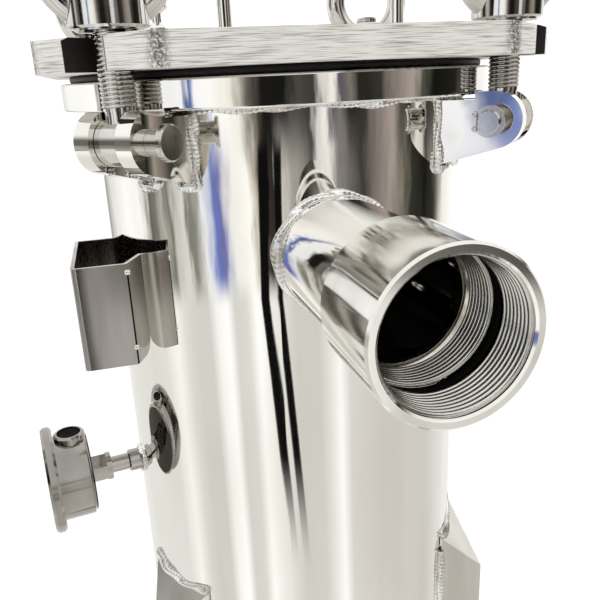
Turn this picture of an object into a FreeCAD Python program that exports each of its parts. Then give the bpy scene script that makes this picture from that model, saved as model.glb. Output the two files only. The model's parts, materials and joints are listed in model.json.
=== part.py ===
import FreeCAD, Part
import Sketcher
import math
import os
from types import SimpleNamespace

# Side-inlet bag filter housing: a welded vessel with a plate lid held by four swing bolts.
# Millimetres, +Z up. The origin is on the vessel's axis at floor level, the inlet points to -Y.

os.makedirs("parts", exist_ok=True)
doc = FreeCAD.newDocument("bag_filter_housing")

# Driving dimensions
values = {
    # vessel
    "flange_top": 800.0,
    "flange_thick": 14.2,
    "flange_overhang": 16.7,
    "shell_radius": 109.5,
    "shell_wall": 3.0,
    "shell_length": 545.0,
    "head_crown": 175.0,
    "head_knuckle": 30.0,
    "edge_round": 1.0,
    # inlet and outlet
    "inlet_drop": 87.8,
    "inlet_length": 125.4,
    "pipe_radius": 30.15,
    "pipe_bore": 27.0,
    "coupling_radius": 33.7,
    "coupling_length": 49.5,
    "coupling_bevel": 2.0,
    "thread_bore": 29.3,
    "mouth_chamfer": 0.9,
    "relief_depth": 1.2,
    "relief_width": 4.0,
    "outlet_reach": 95.0,
    "outlet_rise": 6.0,
    # basket, bag and seat
    "seat_drop": 140.0,
    "seat_thick": 6.0,
    "seat_width": 14.5,
    "rim_play": 1.5,
    "basket_rim": 4.0,
    "basket_play": 2.0,
    "basket_wall": 1.5,
    "basket_length": 395.0,
    "window_width": 9.0,
    "window_height": 80.0,
    "window_pitch": 96.0,
    "window_rows": 4,
    "window_count": 10,
    "bag_play": 1.0,
    "bag_wall": 2.0,
    "bag_ring": 5.0,
    # lid
    "gasket_thick": 4.0,
    "gasket_inset": 5.2,
    "gasket_play": 1.5,
    "gasket_round": 1.6,
    "lid_overhang": 6.2,
    "lid_ears": 29.3,
    "lid_thick": 14.4,
    "lid_corner": 12.0,
    "slot_width": 24.0,
    "swing_play": 0.15,
    "pad_thick": 1.8,
    "pad_radius": 16.0,
    "pad_outward": 3.5,
    "handle_span": 88.0,
    "handle_offset": 82.0,
    "handle_height": 58.0,
    "handle_bend": 14.0,
    "handle_bar": 3.5,
    "vent_across": 68.0,
    "vent_along": 10.0,
    "vent_neck": 2.9,
    "vent_flare": 3.0,
    "vent_foot": 5.0,
    "vent_boss": 11.0,
    "vent_rise": 19.0,
    "vent_body": 7.0,
    "vent_height": 15.0,
    "vent_knob": 10.0,
    "vent_knob_thick": 9.0,
    "vent_knob_neck": 2.0,
    # swing-bolt closure
    "bolt_offset": 11.4,
    "pin_drop": 27.0,
    "pin_radius": 6.0,
    "pin_play": 0.08,
    "barrel_radius": 11.0,
    "barrel_play": 0.3,
    "shank_radius": 6.9,
    "thread_radius": 7.3,
    "thread_start": 13.0,
    "bolt_proud": 4.0,
    "lug_gap": 16.0,
    "lug_thick": 9.0,
    "lug_end": 14.3,
    "lug_root": 51.0,
    "weld_depth": 4.0,
    "lug_top": 16.7,
    "lug_step": 1.4,
    "nut_lift": 0.25,
    "washer_thick": 0.8,
    "washer_radius": 15.0,
    "nut_base": 17.5,
    "nut_base_height": 11.5,
    "nut_neck": 11.0,
    "nut_neck_height": 14.5,
    "ring_radius": 24.5,
    "ring_bar": 7.0,
    "ring_height": 29.2,
    "thread_play": 0.05,
    "head_radius": 8.3,
    "head_thick": 3.0,
    "head_play": 0.2,
    "pin_end": 11.5,
    "pin_bevel": 0.8,
    "clip_inset": 2.0,
    "clip_thick": 1.2,
    "clip_radius": 7.8,
    "clip_groove": 0.4,
    "clip_mouth": 2.3,
    "clip_reach": 1.4,
    "pulled_pin": 8.1,
    # bent plate for the data plate
    "plate_stand": 21.7,
    "plate_inner": 2.6,
    "plate_width": 70.0,
    "plate_top": 89.8,
    "plate_height": 56.5,
    "plate_thick": 2.0,
    "plate_bend": 3.0,
    "plate_return": 28.0,
    "plate_tab_turn": 66.0,
    "plate_tab_round": 9.0,
    # legs
    "leg_width": 38.0,
    "leg_thick": 4.0,
    "leg_stand": 1.5,
    "leg_drop": 342.0,
    "cap_rise": 40.0,
    "cap_run": 27.7,
    "cap_thick": 4.0,
    "foot_width": 80.0,
    "foot_depth": 66.0,
    "foot_thick": 8.0,
    "foot_back": 32.5,
    "foot_round": 8.0,
    "anchor_offset": 15.5,
    "anchor_hole": 6.0,
    # pressure gauge
    "gauge_drop": 236.0,
    "gauge_turn": 8.0,
    "boss_radius": 7.0,
    "boss_length": 9.5,
    "nipple_radius": 5.2,
    "collar_radius": 8.8,
    "nipple_length": 11.0,
    "collar_thick": 3.0,
    "hex_length": 9.5,
    "hex_flat": 8.0,
    "case_radius": 26.5,
    "case_wall": 1.5,
    "case_round": 2.0,
    "case_depth": 20.0,
    "bezel_radius": 33.0,
    "bezel_lip": 23.5,
    "bezel_depth": 6.5,
    "bezel_round": 1.5,
    "window_thick": 2.5,
    "dial_thick": 1.0,
    "pointer_thick": 0.8,
    "pointer_length": 19.0,
    "pointer_tail": 9.0,
    "pointer_hub": 2.9,
    "pointer_width": 2.4,
    "plug_radius": 9.3,
    "plug_proud": 3.5,
    "plug_back": 10.0,
    "plug_bore": 7.2,
    "plug_bevel": 1.0,
}


class Size:
    # A length kept both as a number and as the sheet expression that gives it.
    def __init__(self, number, text):
        self.number = number
        self.text = text

    def __add__(self, other):
        return Size(self.number + number_of(other), "(%s + %s)" % (self.text, text_of(other)))

    def __sub__(self, other):
        return Size(self.number - number_of(other), "(%s - %s)" % (self.text, text_of(other)))

    def __mul__(self, other):
        return Size(self.number * number_of(other), "(%s * %s)" % (self.text, text_of(other)))

    def __truediv__(self, other):
        return Size(self.number / number_of(other), "(%s / %s)" % (self.text, text_of(other)))

    def __neg__(self):
        return Size(-self.number, "(0 - %s)" % self.text)

    def __rsub__(self, other):
        return -self + other

    __radd__ = __add__
    __rmul__ = __mul__


def number_of(item):
    return item.number if isinstance(item, Size) else float(item)


def text_of(item):
    return item.text if isinstance(item, Size) else repr(float(item))


def root(item):
    return Size(math.sqrt(item.number), "sqrt(%s)" % item.text)


def cosine(item):
    return Size(math.cos(math.radians(item.number)), "cos(%s)" % item.text)


def sine(item):
    return Size(math.sin(math.radians(item.number)), "sin(%s)" % item.text)


tiny = 0.01
sheet = doc.addObject("Spreadsheet::Sheet", "sizes")
d = SimpleNamespace()
for row, (name, value) in enumerate(values.items(), start=1):
    sheet.set("A%d" % row, name)
    sheet.set("B%d" % row, str(value))
    sheet.setAlias("B%d" % row, name)
    setattr(d, name, Size(value, "sizes." + name))
doc.recompute()

# Levels, radii and distances that several pieces share; a cut of length through passes right through
zero = d.flange_top * 0.0
through = d.flange_top * 2
shell_inner = d.shell_radius - d.shell_wall
weld_start = d.shell_radius - d.weld_depth
flange_radius = d.shell_radius + d.flange_overhang
inlet_reach = d.shell_radius + d.inlet_length
bolt_circle = flange_radius + d.bolt_offset
basket_radius = shell_inner - d.seat_width - d.basket_play
flange_low = d.flange_top - d.flange_thick
shell_low = flange_low - d.shell_length
inlet_level = d.flange_top - d.inlet_drop
seat_top = d.flange_top - d.seat_drop
gasket_top = d.flange_top + d.gasket_thick
lid_top = gasket_top + d.lid_thick
pin_level = d.flange_top - d.pin_drop
washer_low = lid_top + d.pad_thick + d.nut_lift
nut_low = washer_low + d.washer_thick
lug_face = d.lug_gap / 2 + d.lug_thick
gauge_level = d.flange_top - d.gauge_drop

parts = []


def add_body(name, turn=0.0, base=(0.0, 0.0, 0.0)):
    # A body with its place bound to the sheet and turned about the upright axis.
    body = doc.addObject("PartDesign::Body", name)
    body.Label = name
    body.AllowCompound = True
    body.Placement = FreeCAD.Placement(
        FreeCAD.Vector(*[number_of(item) for item in base]),
        FreeCAD.Rotation(FreeCAD.Vector(0, 0, 1), turn))
    for letter, item in zip("xyz", base):
        if isinstance(item, Size):
            body.setExpression(".Placement.Base." + letter, item.text)
    parts.append(body)
    return body


def origin_item(body, role):
    return [item for item in body.Origin.OriginFeatures if item.Role == role][0]


def add_sketch(body, plane, lift=0.0, turn=0.0):
    # A sketch on one of the body's own origin planes, lifted along the plane's normal.
    sketch = body.newObject("Sketcher::SketchObject", "sketch")
    sketch.AttachmentSupport = (origin_item(body, plane), [""])
    sketch.MapMode = "FlatFace"
    sketch.AttachmentOffset = FreeCAD.Placement(
        FreeCAD.Vector(0, 0, number_of(lift)), FreeCAD.Rotation(FreeCAD.Vector(0, 0, 1), turn))
    if isinstance(lift, Size):
        sketch.setExpression(".AttachmentOffset.Base.z", lift.text)
    return sketch


def pin_down(sketch, kind, item, *place):
    # A dimension that follows the sheet; a coordinate of zero lies on the axis instead.
    if isinstance(item, Size):
        index = sketch.addConstraint(Sketcher.Constraint(kind, *place, item.number))
        sketch.setExpression("Constraints[%d]" % index, item.text)
        return
    axis = -2 if kind == "DistanceX" else -1
    sketch.addConstraint(Sketcher.Constraint("PointOnObject", *place, axis))


def arc_between(start, end, radius, side):
    # The minor arc from start to end; side is 1 where its centre lies to the left of the way.
    chord = end - start
    middle = (start + end) / 2
    rise = math.sqrt(max(radius ** 2 - (chord.Length / 2) ** 2, 0.0))
    left = FreeCAD.Vector(-chord.y, chord.x, 0) / chord.Length
    centre = middle + left * rise * side
    angles = [math.atan2(point.y - centre.y, point.x - centre.x) for point in (start, end)]
    if side < 0:
        angles.reverse()
    if angles[1] < angles[0]:
        angles[1] += 2 * math.pi
    circle = Part.Circle(centre, FreeCAD.Vector(0, 0, 1), radius)
    return Part.ArcOfCircle(circle, angles[0], angles[1])


def draw_outline(sketch, points, closed=True):
    # Points are (x, y), or (x, y, radius, side) where an arc leads from that point to the next.
    corners = [FreeCAD.Vector(number_of(point[0]), number_of(point[1]), 0) for point in points]
    count = len(points) if closed else len(points) - 1
    first = sketch.GeometryCount
    ends = []
    for index in range(count):
        start = corners[index]
        end = corners[(index + 1) % len(points)]
        if len(points[index]) == 2:
            sketch.addGeometry(Part.LineSegment(start, end), False)
            ends.append((1, 2))
            continue
        radius, side = points[index][2:]
        sketch.addGeometry(arc_between(start, end, number_of(radius), side), False)
        ends.append((1, 2) if side > 0 else (2, 1))
    for index in range(count if closed else count - 1):
        after = (index + 1) % count
        sketch.addConstraint(Sketcher.Constraint(
            "Coincident", first + index, ends[index][1], first + after, ends[after][0]))
    for index, point in enumerate(points):
        edge, corner = (index, 0) if index < count else (count - 1, 1)
        pin_down(sketch, "DistanceX", point[0], first + edge, ends[edge][corner])
        pin_down(sketch, "DistanceY", point[1], first + edge, ends[edge][corner])
        if len(point) > 2 and index < count:
            chord = (corners[(index + 1) % len(points)] - corners[index]).Length
            if chord > number_of(point[2]) * 1.9999:
                sketch.addConstraint(Sketcher.Constraint(
                    "Symmetric", first + index, 1, first + index, 2, first + index, 3))
            else:
                pin_down(sketch, "Radius", point[2], first + index)


def draw_circle(sketch, x, y, radius):
    centre = FreeCAD.Vector(number_of(x), number_of(y), 0)
    circle = Part.Circle(centre, FreeCAD.Vector(0, 0, 1), number_of(radius))
    index = sketch.addGeometry(circle, False)
    pin_down(sketch, "DistanceX", x, index, 3)
    pin_down(sketch, "DistanceY", y, index, 3)
    pin_down(sketch, "Radius", radius, index)


def revolve(body, plane, points, axis="V_Axis", cut=False):
    sketch = add_sketch(body, plane)
    draw_outline(sketch, points)
    kind = "PartDesign::Groove" if cut else "PartDesign::Revolution"
    feature = body.newObject(kind, "turned")
    feature.Profile = sketch
    feature.ReferenceAxis = (sketch, [axis])
    feature.Angle = 360.0
    doc.recompute()
    return feature


def extrude(body, sketch, length, both=False, cut=False, reverse=False):
    kind = "PartDesign::Pocket" if cut else "PartDesign::Pad"
    feature = body.newObject(kind, "pressed")
    feature.Profile = sketch
    feature.SideType = "Symmetric" if both else "One side"
    feature.Reversed = reverse
    feature.setExpression("Length", length.text)
    before = body.Shape.Volume if cut else None
    doc.recompute()
    if cut and feature.Shape.Volume > before - 1e-3:
        raise ValueError("a cut removed nothing in " + body.Label)
    return feature


def edges_where(body, chosen):
    edges = body.Tip.Shape.Edges
    return ["Edge%d" % (index + 1) for index, edge in enumerate(edges) if chosen(edge)]


def is_upright(edge):
    return edge.Vertexes[0].Point[:2] == edge.Vertexes[-1].Point[:2]


def round_edges(body, radius, chosen):
    # Rounds the edges of the body's last feature that the test picks.
    base = (body.Tip, edges_where(body, chosen))
    feature = body.newObject("PartDesign::Fillet", "rounded")
    feature.Base = base
    feature.setExpression("Radius", radius.text)
    doc.recompute()
    return feature


def pattern(body, feature, count):
    # Copies a feature evenly round the upright axis.
    copies = body.newObject("PartDesign::PolarPattern", "copies")
    copies.Originals = [feature]
    copies.Axis = (origin_item(body, "Z_Axis"), [""])
    copies.Angle = 360.0
    copies.setExpression("Occurrences", count.text)
    body.Tip = copies
    doc.recompute()
    return copies


def ring_outline(inner, outer, low, high, bevel):
    # The section of a ring whose two outer edges are rounded.
    return [(inner, low), (outer - bevel, low, bevel, 1), (outer, low + bevel),
            (outer, high - bevel, bevel, 1), (outer - bevel, high), (inner, high)]


def clear_of_shell(body, radius):
    # Trims what reaches into the vessel, so that the piece lies on the round wall.
    sketch = add_sketch(body, "XY_Plane")
    draw_circle(sketch, 0, 0, radius)
    return extrude(body, sketch, through, both=True, cut=True)


# Vessel
def make_shell():
    body = add_body("shell")
    revolve(body, "XZ_Plane", [(shell_inner, shell_low), (d.shell_radius, shell_low),
                               (d.shell_radius, flange_low), (shell_inner, flange_low)])
    sketch = add_sketch(body, "XZ_Plane")
    draw_circle(sketch, 0, inlet_level, d.pipe_radius)
    extrude(body, sketch, inlet_reach, cut=True, reverse=True)


def make_head():
    # A dished end: the knuckle arc runs into the crown arc at their common tangent.
    body = add_body("bottom_head")
    reach = d.head_crown - d.head_knuckle
    across = d.shell_radius - d.head_knuckle
    rise = root(reach * reach - across * across)

    def skin(inset):
        crown = d.head_crown - inset
        knuckle = d.head_knuckle - inset
        mouth = shell_low + rise - root(crown * crown - d.pipe_radius * d.pipe_radius)
        return crown, knuckle, across * crown / reach, shell_low + rise - rise * crown / reach, mouth

    crown, knuckle, x, z, mouth = skin(zero)
    crown_in, knuckle_in, x_in, z_in, mouth_in = skin(d.shell_wall)
    revolve(body, "XZ_Plane", [
        (d.pipe_radius, mouth, crown, 1), (x, z, knuckle, 1), (d.shell_radius, shell_low),
        (shell_inner, shell_low, knuckle_in, -1), (x_in, z_in, crown_in, -1), (d.pipe_radius, mouth_in)])
    return mouth


def make_flange():
    body = add_body("body_flange")
    revolve(body, "XZ_Plane", ring_outline(shell_inner, flange_radius, flange_low, d.flange_top,
                                           d.edge_round))


def coupling_outline(back, front, along):
    # The section of a threaded coupling; along puts (distance, radius) in the sketch's order.
    middle = (back + front) / 2
    bevel = d.coupling_bevel
    half = d.relief_width / 2
    relief = d.thread_bore + d.relief_depth
    cone = d.thread_bore + d.mouth_chamfer
    return [along(*point) for point in (
        (back, d.pipe_bore), (back, d.coupling_radius - bevel), (back + bevel, d.coupling_radius),
        (front - d.edge_round, d.coupling_radius), (front, d.coupling_radius - d.edge_round),
        (front, cone), (front - d.mouth_chamfer, d.thread_bore), (middle + half, d.thread_bore),
        (middle + half, relief), (middle - half, relief), (middle - half, d.thread_bore),
        (back + half, d.thread_bore), (back + half, d.pipe_bore))]


def make_inlet():
    back = inlet_reach - d.coupling_length
    stub = add_body("inlet_stub", base=(0.0, 0.0, inlet_level))
    start = shell_inner - d.pipe_radius
    revolve(stub, "YZ_Plane", [(-start, d.pipe_bore), (-start, d.pipe_radius),
                               (-back, d.pipe_radius), (-back, d.pipe_bore)], axis="H_Axis")
    clear_of_shell(stub, shell_inner)
    coupling = add_body("inlet_coupling", base=(0.0, 0.0, inlet_level))
    revolve(coupling, "YZ_Plane", coupling_outline(back, inlet_reach, lambda far, out: (-far, out)),
            axis="H_Axis")


def make_outlet(mouth):
    back = d.outlet_reach - d.coupling_length
    stub = add_body("outlet_stub", base=(0.0, 0.0, mouth))
    revolve(stub, "XZ_Plane", [(d.pipe_bore, -back), (d.pipe_radius, -back),
                               (d.pipe_radius, d.outlet_rise), (d.pipe_bore, d.outlet_rise)])
    coupling = add_body("outlet_coupling", base=(0.0, 0.0, mouth))
    revolve(coupling, "XZ_Plane", coupling_outline(back, d.outlet_reach, lambda far, out: (out, -far)))


# Seat, basket and bag
def make_strainer():
    seat = add_body("seat_ring")
    bore = shell_inner - d.seat_width
    low = seat_top - d.seat_thick
    revolve(seat, "XZ_Plane", [(bore, low), (shell_inner, low), (shell_inner, seat_top), (bore, seat_top)])
    basket = add_body("basket")
    rim = shell_inner - d.rim_play
    low = seat_top - d.basket_length
    inner = basket_radius - d.basket_wall
    revolve(basket, "XZ_Plane", [
        (0, low), (basket_radius, low), (basket_radius, seat_top), (rim, seat_top),
        (rim, seat_top + d.basket_rim), (inner, seat_top + d.basket_rim), (inner, low + d.basket_wall),
        (0, low + d.basket_wall)])
    for index in range(int(d.window_rows.number)):
        sketch = add_sketch(basket, "YZ_Plane")
        middle = seat_top - d.window_pitch * (index + 0.5)
        half = d.window_width / 2
        tall = d.window_height / 2 - half
        draw_outline(sketch, [(half, middle - tall), (half, middle + tall, half, 1),
                              (-half, middle + tall), (-half, middle - tall, half, 1)])
        hole = extrude(basket, sketch, through, cut=True)
        pattern(basket, hole, d.window_count)
    bag = add_body("filter_bag")
    outer = inner - d.bag_play
    top = seat_top + d.basket_rim
    floor = low + d.basket_wall + d.bag_play
    revolve(bag, "XZ_Plane", [
        (0, floor), (outer, floor), (outer, top), (rim - d.rim_play, top),
        (rim - d.rim_play, top + d.bag_ring), (outer - d.bag_wall, top + d.bag_ring),
        (outer - d.bag_wall, floor + d.bag_wall), (0, floor + d.bag_wall)])


# Lid with its gasket, handle and vent
def make_lid():
    # A square plate with its corners cut to a circle, and a slot for a bolt from each corner.
    body = add_body("lid", 45.0, base=(0.0, 0.0, gasket_top))
    edge = flange_radius + d.lid_overhang
    ears = flange_radius + d.lid_ears
    width = root(ears * ears - edge * edge)
    diagonal = root(Size(2, "2"))
    far = (edge + width) / diagonal
    near = (edge - width) / diagonal
    sketch = add_sketch(body, "XY_Plane")
    draw_outline(sketch, [
        (far, -near, ears, 1), (far, near), (near, far, ears, 1), (-near, far), (-far, near, ears, 1),
        (-far, -near), (-near, -far, ears, 1), (near, -far)])
    extrude(body, sketch, d.lid_thick)
    round_edges(body, d.lid_corner, is_upright)
    slot = add_sketch(body, "XY_Plane")
    half = d.slot_width / 2
    out = edge * 2
    draw_outline(slot, [(bolt_circle, -half), (out, -half), (out, half), (bolt_circle, half, half, 1)])
    cut = extrude(body, slot, d.lid_thick, cut=True, reverse=True)
    pattern(body, cut, Size(4, "4"))
    # The ears' tips are eased along the washer's path, so that it clears them when its bolt swings away
    sweep = washer_low - pin_level - d.swing_play
    low = gasket_top - pin_level
    high = lid_top - pin_level
    tip = ears + d.edge_round
    past = tip - bolt_circle
    eased = add_sketch(body, "XZ_Plane")
    draw_outline(eased, [
        (bolt_circle + root(sweep * sweep - high * high), d.lid_thick, sweep, -1),
        (tip, root(sweep * sweep - past * past) - low), (tip, d.lid_thick)])
    cut = extrude(body, eased, edge, both=True, cut=True)
    pattern(body, cut, Size(4, "4"))


def make_gasket():
    body = add_body("lid_gasket")
    revolve(body, "XZ_Plane", ring_outline(shell_inner + d.gasket_play, flange_radius - d.gasket_inset,
                                           d.flange_top, gasket_top, d.gasket_round))


def make_pads():
    # Open wear pads beside the lid's slots, which carry the nuts.
    body = add_body("slot_pads", base=(0.0, 0.0, lid_top))
    sketch = add_sketch(body, "XY_Plane", turn=45.0)
    half = d.slot_width / 2
    front = bolt_circle + d.pad_outward
    side = root(d.pad_radius * d.pad_radius - d.pad_outward * d.pad_outward)
    back = bolt_circle - d.pad_radius
    draw_outline(sketch, [
        (front, half), (front, side, d.pad_radius, 1), (back, 0, d.pad_radius, 1), (front, -side),
        (front, -half), (bolt_circle, -half, half, -1), (bolt_circle - half, 0, half, -1),
        (bolt_circle, half)])
    pad = extrude(body, sketch, d.pad_thick)
    pattern(body, pad, Size(4, "4"))


def make_handle():
    body = add_body("lid_handle", base=(0.0, -d.handle_offset, lid_top))
    half = d.handle_span / 2
    bend = d.handle_bend
    top = d.handle_height - d.handle_bar
    spine = add_sketch(body, "XZ_Plane")
    draw_outline(spine, [
        (-half, 0), (-half, top - bend, bend, -1), (-half + bend, top), (half - bend, top, bend, -1),
        (half, top - bend), (half, 0)], closed=False)
    section = add_sketch(body, "XY_Plane")
    draw_circle(section, -half, 0, d.handle_bar)
    pipe = body.newObject("PartDesign::AdditivePipe", "bar")
    pipe.Profile = section
    pipe.Spine = (spine, ["Edge%d" % (index + 1) for index in range(5)])
    doc.recompute()


def make_vent():
    place = (-d.vent_across, d.vent_along, lid_top)
    top = d.vent_rise + d.vent_height
    bevel = d.edge_round
    body = add_body("vent_body", base=place)
    revolve(body, "XZ_Plane", [
        (0, 0), (d.vent_foot, 0), (d.vent_foot, d.vent_boss),
        (d.vent_neck, d.vent_boss + d.vent_flare), (d.vent_neck, d.vent_rise),
        (d.vent_body, d.vent_rise + d.vent_flare), (d.vent_body, top - bevel),
        (d.vent_body - bevel, top), (0, top)])
    knob = add_body("vent_knob", base=place)
    play = d.head_play
    neck = top + play + d.vent_knob_neck
    revolve(knob, "XZ_Plane", [
        (0, top + play), (d.vent_neck, top + play), (d.vent_neck, neck), (d.vent_knob - bevel, neck),
        (d.vent_knob, neck + bevel), (d.vent_knob, neck + d.vent_knob_thick - bevel),
        (d.vent_knob - bevel, neck + d.vent_knob_thick), (0, neck + d.vent_knob_thick)])


# Swing-bolt closure, four times round the vessel
def make_lugs(name, turn):
    # Two plates with round ends about the pin; the lower edge is tangent to the round end.
    body = add_body("lugs_" + name, turn)
    start = weld_start
    low = d.flange_top - d.lug_root
    away = start - bolt_circle
    down = low - pin_level
    square = away * away + down * down
    along = d.lug_end * d.lug_end / square
    across = d.lug_end * root(square - d.lug_end * d.lug_end) / square
    step = flange_radius + d.lug_step
    top = pin_level + d.lug_end
    sketch = add_sketch(body, "XZ_Plane")
    touch = (bolt_circle + away * along - down * across, pin_level + down * along + away * across)
    draw_outline(sketch, [
        (start, low), (*touch, d.lug_end, 1),
        (bolt_circle + d.lug_end, pin_level, d.lug_end, 1), (bolt_circle, top), (step, top),
        (step, d.flange_top - d.lug_top), (start, d.flange_top - d.lug_top)])
    extrude(body, sketch, lug_face * 2, both=True)
    gap = add_sketch(body, "XZ_Plane")
    outer = bolt_circle + d.lug_end * 2
    draw_outline(gap, [(0, 0), (outer, 0), (outer, d.flange_top), (0, d.flange_top)])
    extrude(body, gap, d.lug_gap, both=True, cut=True)
    hole = add_sketch(body, "XZ_Plane")
    draw_circle(hole, bolt_circle, pin_level, d.pin_radius + d.pin_play)
    extrude(body, hole, through, both=True, cut=True)
    clear_of_shell(body, d.shell_radius)


def make_bolt(name, turn):
    body = add_body("swing_bolt_" + name, turn)
    sketch = add_sketch(body, "XZ_Plane")
    draw_circle(sketch, bolt_circle, pin_level, d.barrel_radius)
    extrude(body, sketch, d.lug_gap - d.barrel_play * 2, both=True)
    shank = add_sketch(body, "XY_Plane", lift=pin_level)
    draw_circle(shank, bolt_circle, 0, d.shank_radius)
    thread_low = d.flange_top - d.thread_start
    extrude(body, shank, thread_low - pin_level)
    thread = add_sketch(body, "XY_Plane", lift=thread_low)
    draw_circle(thread, bolt_circle, 0, d.thread_radius)
    thread_top = nut_low + d.nut_neck_height + d.bolt_proud
    extrude(body, thread, thread_top - thread_low)
    hole = add_sketch(body, "XZ_Plane")
    draw_circle(hole, bolt_circle, pin_level, d.pin_radius + d.pin_play)
    extrude(body, hole, through, both=True, cut=True)
    top = thread_top.number
    base = (body.Tip, edges_where(body, lambda edge: edge.CenterOfMass.z > top - tiny))
    bevel = body.newObject("PartDesign::Chamfer", "end_bevel")
    bevel.Base = base
    bevel.setExpression("Size", d.edge_round.text)
    doc.recompute()


def make_pin(name, turn, shift):
    # A headed pin along the tangent, with a groove for its clip near the free end.
    body = add_body("hinge_pin_" + name, turn, base=pin_place(turn))
    under = lug_face + d.head_play + shift
    end = -(lug_face + d.pin_end) + shift
    groove = d.pin_radius - d.clip_groove
    near = end + d.clip_inset
    bevel = d.pin_bevel
    revolve(body, "XY_Plane", [
        (0, end), (d.pin_radius - bevel, end), (d.pin_radius, end + bevel), (d.pin_radius, near),
        (groove, near), (groove, near + d.clip_thick), (d.pin_radius, near + d.clip_thick),
        (d.pin_radius, under), (d.head_radius, under), (d.head_radius, under + d.head_thick - bevel),
        (d.head_radius - bevel, under + d.head_thick), (0, under + d.head_thick)])
    clip = add_body("pin_clip_" + name, turn, base=pin_place(turn))
    revolve(clip, "XY_Plane", [(groove, near), (d.clip_radius, near), (d.clip_radius, near + d.clip_thick),
                               (groove, near + d.clip_thick)])
    gap = add_sketch(clip, "XY_Plane")
    out = -d.clip_radius * 2
    low = near - d.clip_thick
    high = near + d.clip_thick * 2
    draw_outline(gap, [(out, low), (-d.clip_reach, low), (-d.clip_reach, high), (out, high)])
    extrude(clip, gap, d.clip_mouth * 2, both=True, cut=True)


def pin_place(turn):
    angle = Size(turn, repr(turn))
    return (bolt_circle * cosine(angle), bolt_circle * sine(angle), pin_level)


def make_washer(name, turn):
    body = add_body("washer_" + name, turn)
    sketch = add_sketch(body, "XY_Plane", lift=washer_low)
    draw_circle(sketch, bolt_circle, 0, d.washer_radius)
    draw_circle(sketch, bolt_circle, 0, d.thread_radius + d.pin_play)
    extrude(body, sketch, d.washer_thick)


def make_nut(name, turn):
    # A lifting-eye nut: a turned base that narrows to a neck under a round ring.
    angle = Size(turn, repr(turn))
    body = add_body("eye_nut_" + name, 0.0,
                    base=(bolt_circle * cosine(angle), bolt_circle * sine(angle), nut_low))
    bevel = d.edge_round
    revolve(body, "XZ_Plane", [
        (0, 0), (d.nut_base - bevel, 0), (d.nut_base, bevel), (d.nut_base, d.nut_base_height),
        (d.nut_neck, d.nut_neck_height), (0, d.nut_neck_height)])
    ring = body.newObject("PartDesign::AdditiveTorus", "ring")
    ring.setExpression("Radius1", d.ring_radius.text)
    ring.setExpression("Radius2", d.ring_bar.text)
    ring.AttachmentSupport = (origin_item(body, "XZ_Plane"), [""])
    ring.MapMode = "FlatFace"
    ring.AttachmentOffset = FreeCAD.Placement(
        FreeCAD.Vector(0, d.ring_height.number, 0), FreeCAD.Rotation())
    ring.setExpression(".AttachmentOffset.Base.y", d.ring_height.text)
    doc.recompute()
    under = add_sketch(body, "XY_Plane")
    draw_circle(under, 0, 0, d.ring_radius)
    extrude(body, under, d.ring_bar, cut=True)
    bore = add_sketch(body, "XY_Plane")
    draw_circle(bore, 0, 0, d.thread_radius + d.thread_play)
    extrude(body, bore, d.nut_neck_height + d.ring_bar, cut=True, reverse=True)


# Bent plate for the data plate
def make_plate():
    body = add_body("nameplate_bracket", base=(0.0, 0.0, d.flange_top - d.plate_top - d.plate_height))
    thick = d.plate_thick
    bend = d.plate_bend
    tight = d.plate_bend - d.plate_thick
    left = -(d.shell_radius + d.plate_stand)
    far = -d.plate_inner
    near = -(d.plate_inner + d.plate_width)
    fold = left + d.plate_return
    turn = d.plate_tab_turn
    lean = sine(turn) / (cosine(turn) + 1)
    dot = fold * cosine(turn) + near * sine(turn)
    tab = thick - dot - root(dot * dot - fold * fold - near * near + d.shell_radius * d.shell_radius)
    wall = -root(d.shell_radius * d.shell_radius - far * far) + thick
    tip = (fold + tab * cosine(turn), near + tab * sine(turn))
    sketch = add_sketch(body, "XY_Plane")
    draw_outline(sketch, [
        (wall, far), (left + bend, far, bend, 1), (left, far - bend), (left, near + bend, bend, 1),
        (left + bend, near), (fold, near), tip,
        (tip[0] - thick * sine(turn), tip[1] + thick * cosine(turn)),
        (fold - thick * lean, near + thick), (left + bend, near + thick, tight, -1),
        (left + thick, near + bend), (left + thick, far - bend, tight, -1), (left + bend, far - thick),
        (wall, far - thick)])
    extrude(body, sketch, d.plate_height)
    clear_of_shell(body, d.shell_radius)
    edge = near + (tab - thick) * sine(turn)
    corner = d.plate_tab_round
    lower = add_sketch(body, "YZ_Plane")
    draw_outline(lower, [(edge - corner, 0, corner, 1), (edge, corner), (edge + corner, corner),
                         (edge + corner, -corner), (edge - corner, -corner)])
    extrude(body, lower, -fold - thick / 2, cut=True)


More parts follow.
